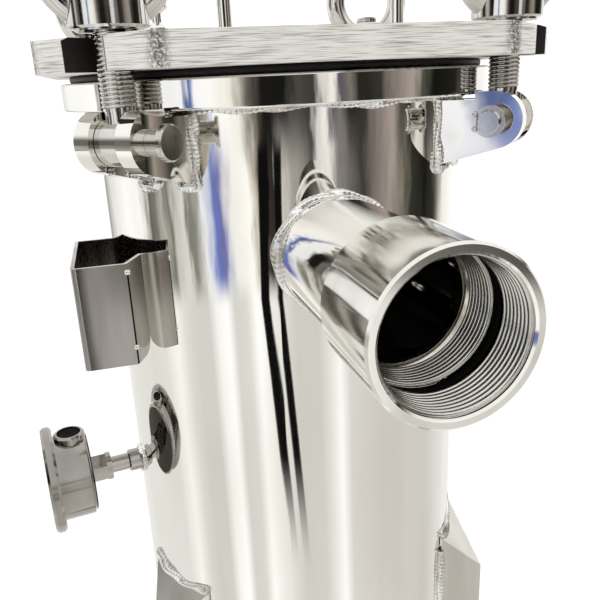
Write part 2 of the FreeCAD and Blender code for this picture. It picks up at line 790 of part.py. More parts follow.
# Legs
def make_leg(name, turn):
    half = d.leg_width * cosine(Size(45, "45"))
    thick = d.leg_thick / cosine(Size(45, "45"))
    inner = root(d.shell_radius * d.shell_radius - half * half) + d.leg_stand
    reach = inner + half
    corner_top = d.flange_top - d.leg_drop
    slope = d.cap_rise / d.cap_run
    drop = d.cap_thick * root(slope * slope + 1)

    def under_cap(x):
        return corner_top - drop + (reach - x) * slope

    leg = add_body("leg_" + name, turn)
    sketch = add_sketch(leg, "XY_Plane", lift=d.foot_thick)
    draw_outline(sketch, [
        (reach, 0), (inner, half), (inner - thick / 2, half - thick / 2), (reach - thick, 0),
        (inner - thick / 2, thick / 2 - half), (inner, -half)])
    front = reach + half
    back = shell_inner - half
    extrude(leg, sketch, under_cap(back) - d.foot_thick)
    above = add_sketch(leg, "XZ_Plane")
    draw_outline(above, [
        (front, under_cap(front)), (front, d.flange_top), (back, d.flange_top), (back, under_cap(back))])
    extrude(leg, above, through, both=True, cut=True)
    clear_of_shell(leg, d.shell_radius)

    cap = add_body("leg_cap_" + name, turn)
    section = add_sketch(cap, "XZ_Plane")
    draw_outline(section, [
        (reach, under_cap(reach)), (reach, under_cap(reach) + drop),
        (shell_inner, under_cap(shell_inner) + drop), (shell_inner, under_cap(shell_inner))])
    extrude(cap, section, half * 2, both=True)
    for side in (1, -1):
        trim = add_sketch(cap, "XY_Plane")
        wide = half * 2 * side
        draw_outline(trim, [(reach, 0), (reach, wide), (inner, wide), (inner, half * side)])
        extrude(cap, trim, d.flange_top, cut=True, reverse=True)
    clear_of_shell(cap, d.shell_radius)

    foot = add_body("foot_" + name, turn)
    pad = add_sketch(foot, "XY_Plane")
    heel = reach - d.foot_back
    toe = heel + d.foot_depth
    side = d.foot_width / 2
    bevel = d.foot_round
    draw_outline(pad, [
        (heel, -side), (toe - bevel, -side, bevel, 1), (toe, bevel - side),
        (toe, side - bevel, bevel, 1), (toe - bevel, side), (heel, side)])
    draw_circle(pad, reach + d.anchor_offset, 0, d.anchor_hole)
    extrude(foot, pad, d.foot_thick)


# Pressure gauge on a line a few degrees from -X towards the inlet, its dial facing away from the vessel
def gauge_body(name, out=zero):
    turn = d.gauge_turn
    return add_body(name, turn.number, base=(-out * cosine(turn), -out * sine(turn), gauge_level))


def make_gauge():
    boss_end = d.shell_radius + d.boss_length
    collar = boss_end + d.nipple_length
    socket = collar + d.collar_thick
    case_back = socket + d.hex_length
    front = case_back + d.case_depth
    inside = d.case_radius - d.case_wall

    boss = gauge_body("gauge_boss")
    bevel = d.edge_round
    revolve(boss, "XZ_Plane", [(-weld_start, 0), (-weld_start, d.boss_radius),
                               (-boss_end + bevel, d.boss_radius), (-boss_end, d.boss_radius - bevel),
                               (-boss_end, 0)], axis="H_Axis")
    clear_of_shell(boss, d.shell_radius)
    stem = gauge_body("gauge_stem")
    revolve(stem, "XZ_Plane", [
        (-boss_end, 0), (-boss_end, d.nipple_radius), (-collar, d.nipple_radius),
        (-collar, d.collar_radius), (-socket, d.collar_radius), (-socket, 0)], axis="H_Axis")
    nut = gauge_body("gauge_hex")
    sketch = add_sketch(nut, "YZ_Plane", lift=-case_back)
    side = d.hex_flat / root(Size(3, "3"))
    draw_outline(sketch, [
        (d.hex_flat, -side), (d.hex_flat, side), (0, side * 2), (-d.hex_flat, side), (-d.hex_flat, -side),
        (0, -side * 2)])
    extrude(nut, sketch, d.hex_length)

    case = gauge_body("gauge_case")
    bevel = d.case_round
    revolve(case, "XZ_Plane", [
        (-case_back, 0), (-case_back, d.case_radius - bevel, bevel, -1),
        (-case_back - bevel, d.case_radius), (-front, d.case_radius), (-front, inside),
        (-case_back - d.case_wall, inside), (-case_back - d.case_wall, 0)], axis="H_Axis")
    bezel = gauge_body("gauge_bezel")
    face = front + d.bezel_depth
    seat = face - d.edge_round
    rim = d.bezel_round
    revolve(bezel, "XZ_Plane", [
        (-front, inside), (-front, d.bezel_radius - rim), (-front - rim, d.bezel_radius),
        (-face + rim, d.bezel_radius), (-face, d.bezel_radius - rim), (-face, d.bezel_lip),
        (-seat, d.bezel_lip), (-seat, inside)], axis="H_Axis")
    window = gauge_body("gauge_window")
    revolve(window, "XZ_Plane", [(-seat + d.window_thick, 0), (-seat + d.window_thick, inside),
                                 (-seat, inside), (-seat, 0)], axis="H_Axis")
    dial = gauge_body("gauge_dial")
    revolve(dial, "XZ_Plane", [(-front + d.dial_thick, 0), (-front + d.dial_thick, inside),
                               (-front, inside), (-front, 0)], axis="H_Axis")

    pointer = gauge_body("gauge_pointer")
    lift = -front - d.head_play - d.pointer_thick * 2
    hub = add_sketch(pointer, "YZ_Plane", lift=lift)
    draw_circle(hub, 0, 0, d.pointer_hub)
    extrude(pointer, hub, d.pointer_thick * 2)
    blade = add_sketch(pointer, "YZ_Plane", lift=lift)
    half = d.pointer_width / 2
    tail = d.pointer_tail * cosine(Size(45, "45"))
    tip = d.pointer_length * cosine(Size(45, "45"))
    draw_outline(blade, [
        (-half, half), (-tail - half, tail - half), (-tail + half, tail + half), (half, -half),
        (tip, -tip)])
    extrude(pointer, blade, d.pointer_thick)

    plug = gauge_body("gauge_plug", case_back + d.plug_back)
    high = d.case_radius + d.plug_proud
    bevel = d.plug_bevel
    revolve(plug, "XZ_Plane", [
        (0, inside), (d.plug_radius, inside), (d.plug_radius, high - bevel), (d.plug_radius - bevel, high),
        (d.plug_bore, high), (d.plug_bore, high - bevel * 2), (0, high - bevel * 2)])
    saddle = add_sketch(plug, "YZ_Plane")
    draw_circle(saddle, 0, 0, d.case_radius)
    extrude(plug, saddle, through, both=True, cut=True)


make_shell()
outlet_level = make_head()
make_flange()
make_inlet()
make_outlet(outlet_level)
make_strainer()
make_lid()
make_gasket()
make_pads()
make_handle()
make_vent()
corners = {"front_left": 225.0, "front_right": 315.0, "back_right": 45.0, "back_left": 135.0}
for corner, angle in corners.items():
    make_lugs(corner, angle)
    make_bolt(corner, angle)
    make_pin(corner, angle, d.pulled_pin if corner == "front_left" else zero)
    make_washer(corner, angle)
    make_nut(corner, angle)
make_plate()
for side, angle in {"left": 210.0, "right": 330.0, "back": 90.0}.items():
    make_leg(side, angle)
make_gauge()
doc.recompute()

failed = [item.Label for item in doc.Objects if "Invalid" in item.State or "Error" in item.State]
failed += [body.Label for body in parts if body.Shape.isNull() or not body.Shape.isValid()]
if failed:
    raise ValueError("failed: " + ", ".join(sorted(set(failed))))
for body in parts:
    body.Shape.exportStep("parts/%s.step" % body.Label)
    box = body.Shape.BoundBox
    print("%-26s %2d solid(s) %10.0f mm3  z %6.1f to %6.1f" % (
        body.Label, len(body.Shape.Solids), body.Shape.Volume, box.ZMin, box.ZMax))
print(len(parts), "sub-parts")
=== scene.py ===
import json
import math
from functools import partial

import bpy
import numpy as np
from mathutils import Matrix, Vector


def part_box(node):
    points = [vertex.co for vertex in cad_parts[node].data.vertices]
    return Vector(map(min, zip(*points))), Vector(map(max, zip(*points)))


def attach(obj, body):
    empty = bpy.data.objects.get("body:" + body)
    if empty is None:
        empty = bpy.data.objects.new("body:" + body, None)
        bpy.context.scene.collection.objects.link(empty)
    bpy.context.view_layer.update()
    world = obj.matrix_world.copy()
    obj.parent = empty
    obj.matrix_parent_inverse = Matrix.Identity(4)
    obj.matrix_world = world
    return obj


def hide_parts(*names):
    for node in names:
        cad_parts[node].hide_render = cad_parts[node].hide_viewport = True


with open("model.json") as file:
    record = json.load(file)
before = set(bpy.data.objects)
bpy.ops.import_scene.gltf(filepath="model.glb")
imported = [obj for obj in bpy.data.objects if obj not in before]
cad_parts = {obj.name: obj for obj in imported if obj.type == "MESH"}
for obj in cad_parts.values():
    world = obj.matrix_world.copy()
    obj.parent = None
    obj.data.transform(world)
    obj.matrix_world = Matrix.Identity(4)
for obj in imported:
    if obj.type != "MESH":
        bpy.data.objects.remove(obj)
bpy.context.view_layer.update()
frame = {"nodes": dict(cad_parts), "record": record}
mm = 0.001
gaugeTurn = math.radians(8.0)      # from -X towards the inlet's side
gaugeOut = -np.array([math.cos(gaugeTurn), math.sin(gaugeTurn), 0.0])   # the way the dial faces

# The camera stands where the photograph was taken, a little over arm's length from the vessel.
cameraSettings = {
    "distance": 433.09 * mm,  # from the vessel's axis
    "turn": 13.89,            # degrees to the left of the inlet's axis
    "height": 796.6 * mm,
    "pitch": 18.18,           # degrees below the horizon
    "yaw": 1.08,              # degrees to the right of the vessel's axis
    "roll": 2.64,
    "lens": 40.1,
    "sensor": 36.0,
    "clipStart": 10.0 * mm,
}


def placeCamera(s):
    # Forward comes from the turn, yaw and pitch; the roll then turns right and up about it.
    turn, yaw, pitch, roll = [math.radians(s[key]) for key in ("turn", "yaw", "pitch", "roll")]
    heading = yaw + turn
    level = Vector((math.sin(heading), math.cos(heading), 0.0))
    forward = level * math.cos(pitch) - Vector((0.0, 0.0, math.sin(pitch)))
    right = Vector((math.cos(heading), -math.sin(heading), 0.0))
    up = right.cross(forward)
    tilted = right * math.cos(roll) - up * math.sin(roll)
    upright = right * math.sin(roll) + up * math.cos(roll)
    camera = bpy.data.objects.new("camera", bpy.data.cameras.new("camera"))
    camera.data.lens = s["lens"]
    camera.data.sensor_width = s["sensor"]
    camera.data.clip_start = s["clipStart"]
    spot = Vector((-math.sin(turn) * s["distance"], -math.cos(turn) * s["distance"], s["height"]))
    turned = Matrix((tilted, upright, -forward)).transposed().to_4x4()
    camera.matrix_world = Matrix.Translation(spot) @ turned
    bpy.context.scene.collection.objects.link(camera)
    bpy.context.scene.camera = camera


placeCamera(cameraSettings)
print("camera placed")


def linear(hexColour):
    # sRGB hex to linear light
    channels = [int(hexColour[i:i + 2], 16) / 255 for i in (1, 3, 5)]
    return [c / 12.92 if c <= 0.04045 else ((c + 0.055) / 1.055) ** 2.4 for c in channels] + [1.0]


eased = {"interpolation_type": "SMOOTHSTEP"}   # for a Map Range node that starts and ends softly
inColour = {"data_type": "RGBA"}               # for a Mix node, whose inputs 6 and 7 are then its colours


def addNode(tree, kind, inputs=None, **settings):
    # Adds a shader node with its options. An input gets a value, a socket, or a node whose result it takes.
    node = tree.nodes.new("ShaderNode" + kind)
    for key, value in settings.items():
        setattr(node, key, value)
    for key, value in (inputs or {}).items():
        if isinstance(value, bpy.types.Node):
            value = next(socket for socket in value.outputs if socket.enabled)
        if isinstance(value, bpy.types.NodeSocket):
            tree.links.new(value, node.inputs[key])
        else:
            node.inputs[key].default_value = value
    return node


# The studio round the vessel: a pale hall floor, walls with light and dark panels that are cut lower
# down by benches and crates, and two narrow black flags beside the camera. Azimuths are in degrees
# and run from the inlet's side towards +X. A ramp holds 32 stops, so the walls' right side has its own.
studioSettings = {
    "panels": [
        (-180, "#F4F4F2"), (-165, "#D8DADC"), (-150, "#F6F6F4"), (-119, "#FFFFFF"), (-114, "#2A2A26"),
        (-104, "#34342F"), (-100, "#E2E2DE"), (-96, "#5C5A55"), (-89, "#6E6B66"), (-85, "#1B1B19"),
        (-77, "#171716"), (-73, "#F2F4F6"), (-61, "#F4F6FA"), (-58.5, "#3F4F86"), (-56.5, "#7087BE"),
        (-54, "#FAFBFF"), (-47, "#FFFFFF"), (-38, "#EFEDE6"), (-32, "#A39C92"), (-28, "#57524C"),
        (-22, "#1A1917"), (-10, "#161615"), (-5, "#4A4844"), (4, "#3A3936"), (8, "#D8D6D2"),
        (14, "#F0EEEA"), (17, "#5A5360"), (22, "#77736C"), (28, "#23231F"), (38, "#35342F"),
        (46, "#857C76"), (58, "#A69B94"),
    ],
    "panelsRight": [
        (58, "#A69B94"), (64, "#4E4F46"), (72, "#14150F"), (88, "#1E1F19"), (96, "#4E4F48"),
        (101, "#3A3B33"), (106, "#F2F2F0"), (150, "#FFFFFF"), (172, "#E2E3E2"), (180, "#F4F4F2"),
    ],
    "benches": [
        (-180, "#E6E6E4"), (-167, "#9C9C98"), (-150, "#E0E0DE"), (-128, "#FFFFFF"), (-112, "#F6F6F3"),
        (-105, "#5E5F58"), (-98, "#77786F"), (-93, "#B4B4AA"), (-88, "#6E6A66"), (-84, "#C2C2BA"),
        (-77, "#D8D8D2"), (-73, "#7C7C74"), (-68, "#A2A29A"), (-63, "#EDEFF2"), (-59, "#C0C6DE"),
        (-56, "#6A7CC0"), (-52, "#6C70A8"), (-49, "#C9CADA"), (-44, "#F0F0EC"), (-34, "#FBFAF4"),
        (-29, "#A89F92"), (-25, "#35322E"), (-19, "#2A2826"), (-15, "#D2D0CB"), (-9, "#A6A39E"),
        (-2, "#8F8C87"), (4, "#4C4A47"), (8, "#C9C7C1"), (14, "#E6E4DE"), (20, "#85817D"),
        (36, "#3B3935"), (58, "#A0968E"),
    ],
    "benchesRight": [
        (58, "#A0968E"), (66, "#6E6A60"), (72, "#34342C"), (86, "#1A1A15"), (94, "#33332E"),
        (101, "#8A8A82"), (108, "#F2F2EE"), (140, "#FFFFFF"), (165, "#D0D0CC"), (180, "#E6E6E4"),
    ],
    "floor": [
        (-180, "#E4E4E1"), (-128, "#DDDDD8"), (-104, "#DEDEDA"), (-93, "#FAFAF6"), (-84, "#DCDCD8"),
        (-76, "#D0D1CC"), (-66, "#CFCFCA"), (-60, "#F4F4F2"), (-53, "#FFFFFF"), (-48, "#D4D4CF"),
        (-40, "#DAD9D5"), (-34, "#FFFFFF"), (-28, "#F2F2EE"), (-10, "#CECDC8"), (4, "#D0CFCB"),
        (11, "#E6E5E0"), (18, "#FFFFFF"), (25, "#D8D7D2"), (48, "#CFCDC8"), (90, "#CAC8C3"),
        (125, "#E8E8E4"), (180, "#E4E4E1"),
    ],
    "ceiling": "#F4F4F2",
    "clutter": 11.0,                # degrees by which shelves and boxes stagger the panels' edges
    "clutterScale": 14.0,           # noise cells to a radian, so about four degrees each
    "strength": 1.15,
    "floorEdge": (-18.5, -15.5),   # elevations between which the floor turns into the benches
    "benchTop": (-8.0, -1.5),
    "ceilingEdge": (7.0, 24.0),
    "flags": [(-28.0, 2.6), (-19.6, 2.3)],   # azimuth at the bend, half width
    "flagEdge": (0.5, -0.4),                 # from the half width to where the black starts and is full
    "flagBend": -18.0,
    "flagSlopes": (0.28, 0.45),              # degrees across for each degree above and below the bend
    "flagFoot": (-40.5, -31.0),              # elevations where they start and are full
    "flagTop": (-3.0, -6.0),
    "flagBlack": "#0E0E0E",
    "background": "#FFFFFF",
    "softLight": "#FFFFFF",
}


def roundTheRoom(add, azimuth, stops):
    # The colour at an azimuth, blended from each stop to the next.
    low, high = stops[0][0], stops[-1][0]
    share = add("MapRange", {"Value": azimuth, "From Min": low, "From Max": high})
    node = add("ValToRGB", {"Fac": share})
    elements = node.color_ramp.elements
    while len(elements) > 1:
        elements.remove(elements[-1])
    for index, (place, colour) in enumerate(stops):
        place = (place - low) / (high - low)
        element = elements.new(place) if index else elements[0]
        element.position = place
        element.color = linear(colour)
    return node


def makeStudio(s):
    # Azimuth and elevation in degrees come from the direction; noise staggers the azimuth for the walls.
    scene = bpy.context.scene
    scene.world = bpy.data.worlds.new("studio")
    scene.world.use_nodes = True
    scene.world.node_tree.nodes.clear()
    add = partial(addNode, scene.world.node_tree)
    direction = add("TexCoord").outputs["Generated"]
    xyz = add("SeparateXYZ", {0: direction}).outputs
    inletWard = add("Math", {0: xyz["Y"], 1: -1.0}, operation="MULTIPLY")
    azimuth = add("Math", {0: xyz["X"], 1: inletWard}, operation="ARCTAN2")
    azimuth = add("Math", {0: azimuth}, operation="DEGREES")
    elevation = add("Math", {0: xyz["Z"]}, operation="ARCSINE")
    elevation = add("Math", {0: elevation}, operation="DEGREES")
    clutter = add("TexNoise", {"Vector": direction, "Scale": s["clutterScale"], "Detail": 3.0})
    shift = add("Math", {0: clutter, 1: 0.5}, operation="SUBTRACT")
    staggered = add("Math", {0: shift, 1: s["clutter"], 2: azimuth}, operation="MULTIPLY_ADD")
    seam = s["panelsRight"][0][0]
    onRight = add("Math", {0: staggered, 1: seam}, operation="GREATER_THAN")
    walls = {}
    for key in ("panels", "benches"):
        left, right = [roundTheRoom(add, staggered, s[part]) for part in (key, key + "Right")]
        walls[key] = add("Mix", {0: onRight, 6: left, 7: right}, **inColour)
    # From the floor up, each level gives way to the next.
    colour = roundTheRoom(add, azimuth, s["floor"])
    for edge, level in (("floorEdge", walls["benches"]), ("benchTop", walls["panels"]),
                        ("ceilingEdge", linear(s["ceiling"]))):
        low, high = s[edge]
        risen = add("MapRange", {"Value": elevation, "From Min": low, "From Max": high}, **eased)
        colour = add("Mix", {0: risen, 6: colour, 7: level}, **inColour)
    # The flags lean by one slope above their bend and by another below it, and fade at both ends.
    straight = azimuth
    for way, slope in zip((1.0, -1.0), s["flagSlopes"]):
        past = add("Math", {0: elevation, 1: way, 2: -way * s["flagBend"]}, operation="MULTIPLY_ADD")
        past = add("Math", {0: past, 1: 0.0}, operation="MAXIMUM")
        straight = add("Math", {0: past, 1: -slope, 2: straight}, operation="MULTIPLY_ADD")
    ends = [add("MapRange", {"Value": elevation, "From Min": start, "From Max": full}, **eased)
            for start, full in (s["flagFoot"], s["flagTop"])]
    standing = add("Math", {0: ends[0], 1: ends[1]}, operation="MULTIPLY")
    start, full = s["flagEdge"]
    for place, half in s["flags"]:
        away = add("Math", {0: straight, 1: place}, operation="SUBTRACT")
        away = add("Math", {0: away}, operation="ABSOLUTE")
        inside = add("MapRange", {"Value": away, "From Min": half + start, "From Max": half + full},
                     **eased)
        black = add("Math", {0: inside, 1: standing}, operation="MULTIPLY")
        colour = add("Mix", {0: black, 6: colour, 7: linear(s["flagBlack"])}, **inColour)
    path = add("LightPath").outputs
    for ray, key in (("Is Diffuse Ray", "softLight"), ("Is Camera Ray", "background")):
        colour = add("Mix", {0: path[ray], 6: colour, 7: linear(s[key])}, **inColour)
    light = add("Background", {"Color": colour, "Strength": s["strength"]})
    add("OutputWorld", {"Surface": light})
    scene.view_settings.view_transform = "Standard"


makeStudio(studioSettings)
print("studio lit")


# Materials

def newMaterial(name):
    material = bpy.data.materials.new(name)
    material.use_nodes = True
    material.node_tree.nodes.clear()
    add = partial(addNode, material.node_tree)
    return material, add, add("TexCoord").outputs["Object"]


# Stainless steel in its finishes. grain is the size in mm of a cell of the surface's texture, stretch
# makes it longer along an axis, depth is its relief in mm, and waves that of slow dents.
steelDefaults = {
    "stretch": (1, 1, 1),
    "waves": 0.0,
    "waveSize": 45.0,            # mm across a dent
    "cloudSize": 30.0,           # mm across the clouds in which the colour turns to its stain
    "cloudStretch": 8,           # the most by which stretch draws the clouds out
    "cloudEdge": (0.35, 0.75),   # noise at which a cloud starts and is full
}
steelSettings = {
    # Buffed to a mirror: clear bands of the room, a faint haze and the slow waves of rolled sheet.
    "mirror polished stainless steel": {
        "colour": "#F4F2EE", "stain": "#ECE9E4", "roughness": (0.02, 0.05), "grain": 0.6,
        "stretch": (1, 1, 6), "depth": 0.0003, "waves": 0.024},
    # Bright beads left as welded, lightly brushed: small hot highlights with dark roots.
    "weld metal": {
        "colour": "#FFFFFF", "stain": "#DCD8D0", "roughness": (0.2, 0.36), "grain": 0.9, "depth": 0.02},
    # Turned on a lathe: fine rings along the part's upright axis soften the reflections.
    "turned stainless steel": {
        "colour": "#DDDBD7", "stain": "#B5B1AA", "roughness": (0.08, 0.2), "grain": 0.35,
        "stretch": (1, 1, 4), "depth": 0.003},
    # Forged and tumbled bright: soft reflections with a slight orange-peel.
    "polished forged steel": {
        "colour": "#E2E0DC", "stain": "#C6C2BB", "roughness": (0.05, 0.13), "grain": 1.5, "depth": 0.008},
    # Couplings turned and then polished: the rings blur small reflections but keep the long bands.
    "polished coupling steel": {
        "colour": "#EFEDE8", "stain": "#DAD7D1", "roughness": (0.06, 0.13), "grain": 0.5,
        "depth": 0.0008},
    # The gauge's pressed and drawn case: greyer than the vessel, and its back, which faces the shell,
    # painted nearly dark as shade.
    # back is how far in mm along the gauge's axis that painted shade reaches, and its colour.
    "drawn stainless steel": {
        "colour": "#B0ACA7", "stain": "#95918C", "roughness": (0.04, 0.1), "grain": 0.5,
        "stretch": (1, 1, 3), "depth": 0.001, "back": (143.3, "#4C4A48")},
    # The gauge's bar-stock fittings, turned, in a copy of the turned steel painted darker as the shade
    # between the gauge and the shell: dull streaks on a soft shine.
    "turned gauge fitting": {
        "colour": "#B2AEA9", "stain": "#7E7A76", "roughness": (0.06, 0.16), "grain": 0.4,
        "stretch": (4, 1, 1), "depth": 0.003},
    # Perforated sheet pickled matt grey, and darker still as painted shade for the vessel's dark inside: it
    # swallows most of the little light that gets inside.
    "pickled perforated sheet in painted shade": {
        "colour": "#77746F", "stain": "#5E5B57", "roughness": (0.35, 0.5), "grain": 0.6, "depth": 0.004},
    # Rolled angle and plate, satin polished: blurred reflections drawn out upwards.
    "satin rolled stainless steel": {
        "colour": "#DEDBD6", "stain": "#CFCBC4", "roughness": (0.14, 0.22), "grain": 0.4,
        "stretch": (1, 1, 14), "depth": 0.0015, "waves": 0.02},
    # Cold rolled sheet as it came: a greyish sheen with upright rolling lines, darker towards its left
    # edge. bow is the x in mm from which it falls back, and the fall in mm over the first millimetre.
    "bent stainless sheet": {
        "colour": "#C6C2BE", "stain": "#8F8A86", "roughness": (0.1, 0.18), "grain": 0.4,
        "stretch": (1, 1, 40), "depth": 0.0025, "bow": (-110.0, 0.0035)},
}


def makeSteel(name, s):
    material, add, place = newMaterial(name)
    scaled = add("Mapping", {"Vector": place, "Scale": [1 / (s["grain"] * mm * f) for f in s["stretch"]]})
    texture = add("TexNoise", {"Vector": scaled, "Scale": 1.0, "Detail": 4.0, "Roughness": 0.6})
    sizes = [s["cloudSize"] * mm * min(f, s["cloudStretch"]) for f in s["stretch"]]
    drawn = add("Mapping", {"Vector": place, "Scale": [1 / size for size in sizes]})
    clouds = add("TexNoise", {"Vector": drawn, "Scale": 1.0, "Detail": 3.0})
    low, high = s["cloudEdge"]
    stained = add("MapRange", {"Value": clouds, "From Min": low, "From Max": high}, **eased)
    colour = add("Mix", {0: stained, 6: linear(s["colour"]), 7: linear(s["stain"])}, **inColour)
    # Painted shade: up to a level along the gauge's axis, the back that faces the shell is painted dark.
    if "back" in s:
        reach, shade = s["back"]
        far = add("VectorMath", {0: place, 1: gaugeOut}, operation="DOT_PRODUCT")
        behind = add("Math", {0: far, 1: reach * mm}, operation="LESS_THAN")
        colour = add("Mix", {0: behind, 6: colour, 7: linear(shade)}, **inColour)
    # Texture and clouds each stay near a half, so their sum ranges round 1.
    low, high = s["roughness"]
    both = add("Math", {0: texture, 1: clouds}, operation="ADD")
    level = add("MapRange", {"Value": both, "From Min": 0.7, "From Max": 1.3,
                             "To Min": low, "To Max": high})
    bump = add("Bump", {"Height": texture, "Distance": s["depth"] * mm})
    if s["waves"]:
        slow = add("TexNoise", {"Vector": place, "Scale": 1 / (s["waveSize"] * mm), "Detail": 1.0})
        bump = add("Bump", {"Height": slow, "Distance": s["waves"] * mm, "Normal": bump})
    if "bow" in s:
        # Left of a line the sheet falls back by the square of the distance, as rolled sheet springs open.
        start, fall = s["bow"]
        x = add("SeparateXYZ", {0: place}).outputs["X"]
        past = add("Math", {0: x, 1: -1 / mm, 2: start}, operation="MULTIPLY_ADD")
        past = add("Math", {0: past, 1: 0.0}, operation="MAXIMUM")
        square = add("Math", {0: past, 1: past}, operation="MULTIPLY")
        bump = add("Bump", {"Height": square, "Distance": fall * mm, "Normal": bump}, invert=True)
    shader = add("BsdfPrincipled",
                 {"Base Color": colour, "Metallic": 1.0, "Roughness": level, "Normal": bump})
    add("OutputMaterial", {"Surface": shader})
    return material


# The lid is a plate cut from bar, its edges ground along their length: horizontal scratches spread the
# reflections up and down, so the edge is bright all over with darker streaks. Sizes are in mm.
brushedSettings = {
    "bright": "#FFFDF8",
    "dark": "#968D84",
    "darkEdge": (0.44, 0.76),    # noise at which a dark streak starts and is full
    "roughness": (0.52, 0.72),
    "scratch": (0.2, 9.0),       # height and length; the real ones are finer than the render can show
    "streak": (0.42, 17.0),
    "depth": 0.03,
    "metal": 0.55,
    "lay": 0.92,
    "layTurn": 0.25,             # of a full turn: the highlights spread up and down
    # The slots' half width and the distance at which they start, and the colour of the shade painted on
    # their walls.
    "slotHalf": 12.35,
    "slotEnd": 125.5,
    "slotPaintedShade": "#3B3836",
    "turn": (80.5, 6.5),         # middle and half width of the patch where an ear's arc ends
    "turnShade": "#77716C",
    "speckle": 1.1,
    "speckleEdge": (0.3, 0.6),
}


def makeBrushed(name, s):
    material, add, place = newMaterial(name)
    # The scratches run along x on the top and the underside, and along the edge round the sides.
    normal = add("NewGeometry").outputs["Normal"]
    facing = add("SeparateXYZ", {0: normal}).outputs["Z"]
    facing = add("Math", {0: facing}, operation="ABSOLUTE")
    onSide = add("Math", {0: facing, 1: 0.7}, operation="LESS_THAN")
    noises = []
    for high, long in (s["scratch"], s["streak"]):
        fine, coarse = 1 / (high * mm), 1 / (long * mm)
        across = add("Math", {0: onSide, 1: coarse - fine, 2: fine}, operation="MULTIPLY_ADD")
        scale = add("CombineXYZ", {"X": coarse, "Y": across, "Z": fine})
        scaled = add("VectorMath", {0: place, 1: scale}, operation="MULTIPLY")
        noises.append(add("TexNoise", {"Vector": scaled, "Scale": 1.0, "Detail": 3.0}))
    scratches, streaks = noises
    low, high = s["darkEdge"]
    share = add("MapRange", {"Value": streaks, "From Min": low, "From Max": high}, **eased)
    # Painted shade in the slots: where both sizes of x and y lie near the diagonal, the wall is painted
    # dark.
    mirrored = add("VectorMath", {0: place}, operation="ABSOLUTE")
    xyz = add("SeparateXYZ", {0: mirrored}).outputs
    aside = add("Math", {0: xyz["X"], 1: xyz["Y"]}, operation="SUBTRACT")
    aside = add("Math", {0: aside}, operation="ABSOLUTE")
    outward = add("Math", {0: xyz["X"], 1: xyz["Y"]}, operation="ADD")
    half, end = [s[key] * mm * math.sqrt(2) for key in ("slotHalf", "slotEnd")]
    narrow = add("Math", {0: aside, 1: half}, operation="LESS_THAN")
    beyond = add("Math", {0: outward, 1: end}, operation="GREATER_THAN")
    inSlot = add("Math", {0: narrow, 1: beyond}, operation="MULTIPLY")
    # Where an ear's arc turns into the straight edge the belt skipped, and the scale stayed in speckles.
    middle, half = [value * mm for value in s["turn"]]
    nearer = add("Math", {0: xyz["X"], 1: xyz["Y"]}, operation="MINIMUM")
    off = add("Math", {0: nearer, 1: middle}, operation="SUBTRACT")
    off = add("Math", {0: off}, operation="ABSOLUTE")
    skipped = add("MapRange", {"Value": off, "From Min": half, "From Max": half * 0.1}, **eased)
    speckles = add("TexNoise", {"Vector": place, "Scale": 1 / (s["speckle"] * mm), "Detail": 3.0})
    low, high = s["speckleEdge"]
    speckled = add("MapRange", {"Value": speckles, "From Min": low, "From Max": high}, **eased)
    scale = add("Math", {0: skipped, 1: speckled}, operation="MULTIPLY")
    scale = add("Math", {0: scale, 1: onSide}, operation="MULTIPLY")
    tint = linear(s["bright"])
    for part, shade in ((share, s["dark"]), (inSlot, s["slotPaintedShade"]), (scale, s["turnShade"])):
        tint = add("Mix", {0: part, 6: tint, 7: linear(shade)}, **inColour)
    low, high = s["roughness"]
    level = add("MapRange", {"Value": streaks, "From Min": 0.3, "From Max": 0.7,
                             "To Min": high, "To Max": low})
    bump = add("Bump", {"Height": scratches, "Distance": s["depth"] * mm})
    lay = add("Tangent", direction_type="RADIAL", axis="Z")
    shader = add("BsdfPrincipled",
                 {"Base Color": tint, "Metallic": s["metal"], "Roughness": level, "Normal": bump,
                  "Anisotropic": s["lay"], "Anisotropic Rotation": s["layTurn"], "Tangent": lay})
    add("OutputMaterial", {"Surface": shader})
    return material


# Materials that aren't metal: colour, the darker colour of the texture, roughness, and the texture's
# cell and relief in mm.
plainSettings = {
    # Moulded nitrile: nearly black, dull, with a fine matt skin.
    "black nitrile rubber": {
        "colour": "#111112", "dark": "#070708", "roughness": 0.5, "grain": 0.8, "depth": 0.02},
    # Needled polyester: off-white and fuzzy, without any gloss.
    "needled polyester felt": {
        "colour": "#ECE9DF", "dark": "#CFCABC", "roughness": 0.95, "grain": 0.6, "depth": 0.15},
    # A dial printed on white enamelled sheet: smooth, with a faint orange-peel.
    "white enamelled dial": {
        "colour": "#F6F5F0", "dark": "#EDECE5", "roughness": 0.35, "grain": 2.0, "depth": 0.001},
    # Stoved black lacquer on the pointer and the dial's marks: black with a slight sheen.
    "black stoved lacquer": {
        "colour": "#141414", "dark": "#0A0A0A", "roughness": 0.35, "grain": 0.5, "depth": 0.002},
    # The shadow in an open joint between two sheets: black, with hardly any reflection.
    "shadowed joint": {
        "colour": "#0B0A0A", "dark": "#050505", "roughness": 0.8, "grain": 0.5, "depth": 0.01,
        "specular": 0.15},
    # A painted studio floor, so pale that it washes out.
    "pale studio floor": {
        "colour": "#FFFFFF", "dark": "#FBFBFA", "roughness": 0.9, "grain": 40.0, "depth": 0.0},
}


def makePlain(name, s):
    material, add, place = newMaterial(name)
    texture = add("TexNoise", {"Vector": place, "Scale": 1 / (s["grain"] * mm), "Detail": 3.0})
    colour = add("Mix", {0: texture, 6: linear(s["dark"]), 7: linear(s["colour"])}, **inColour)
    bump = add("Bump", {"Height": texture, "Distance": s["depth"] * mm})
    shader = add("BsdfPrincipled", {"Base Color": colour, "Roughness": s["roughness"], "Normal": bump,
                                    "Specular IOR Level": s["specular"]})
    add("OutputMaterial", {"Surface": shader})
    return material


# Flat instrument glass: clear, with a faint smear that shows in its reflections.
glassSettings = {"colour": "#FAFCFB", "ior": 1.5, "smear": 12.0, "roughness": (0.0, 0.05)}


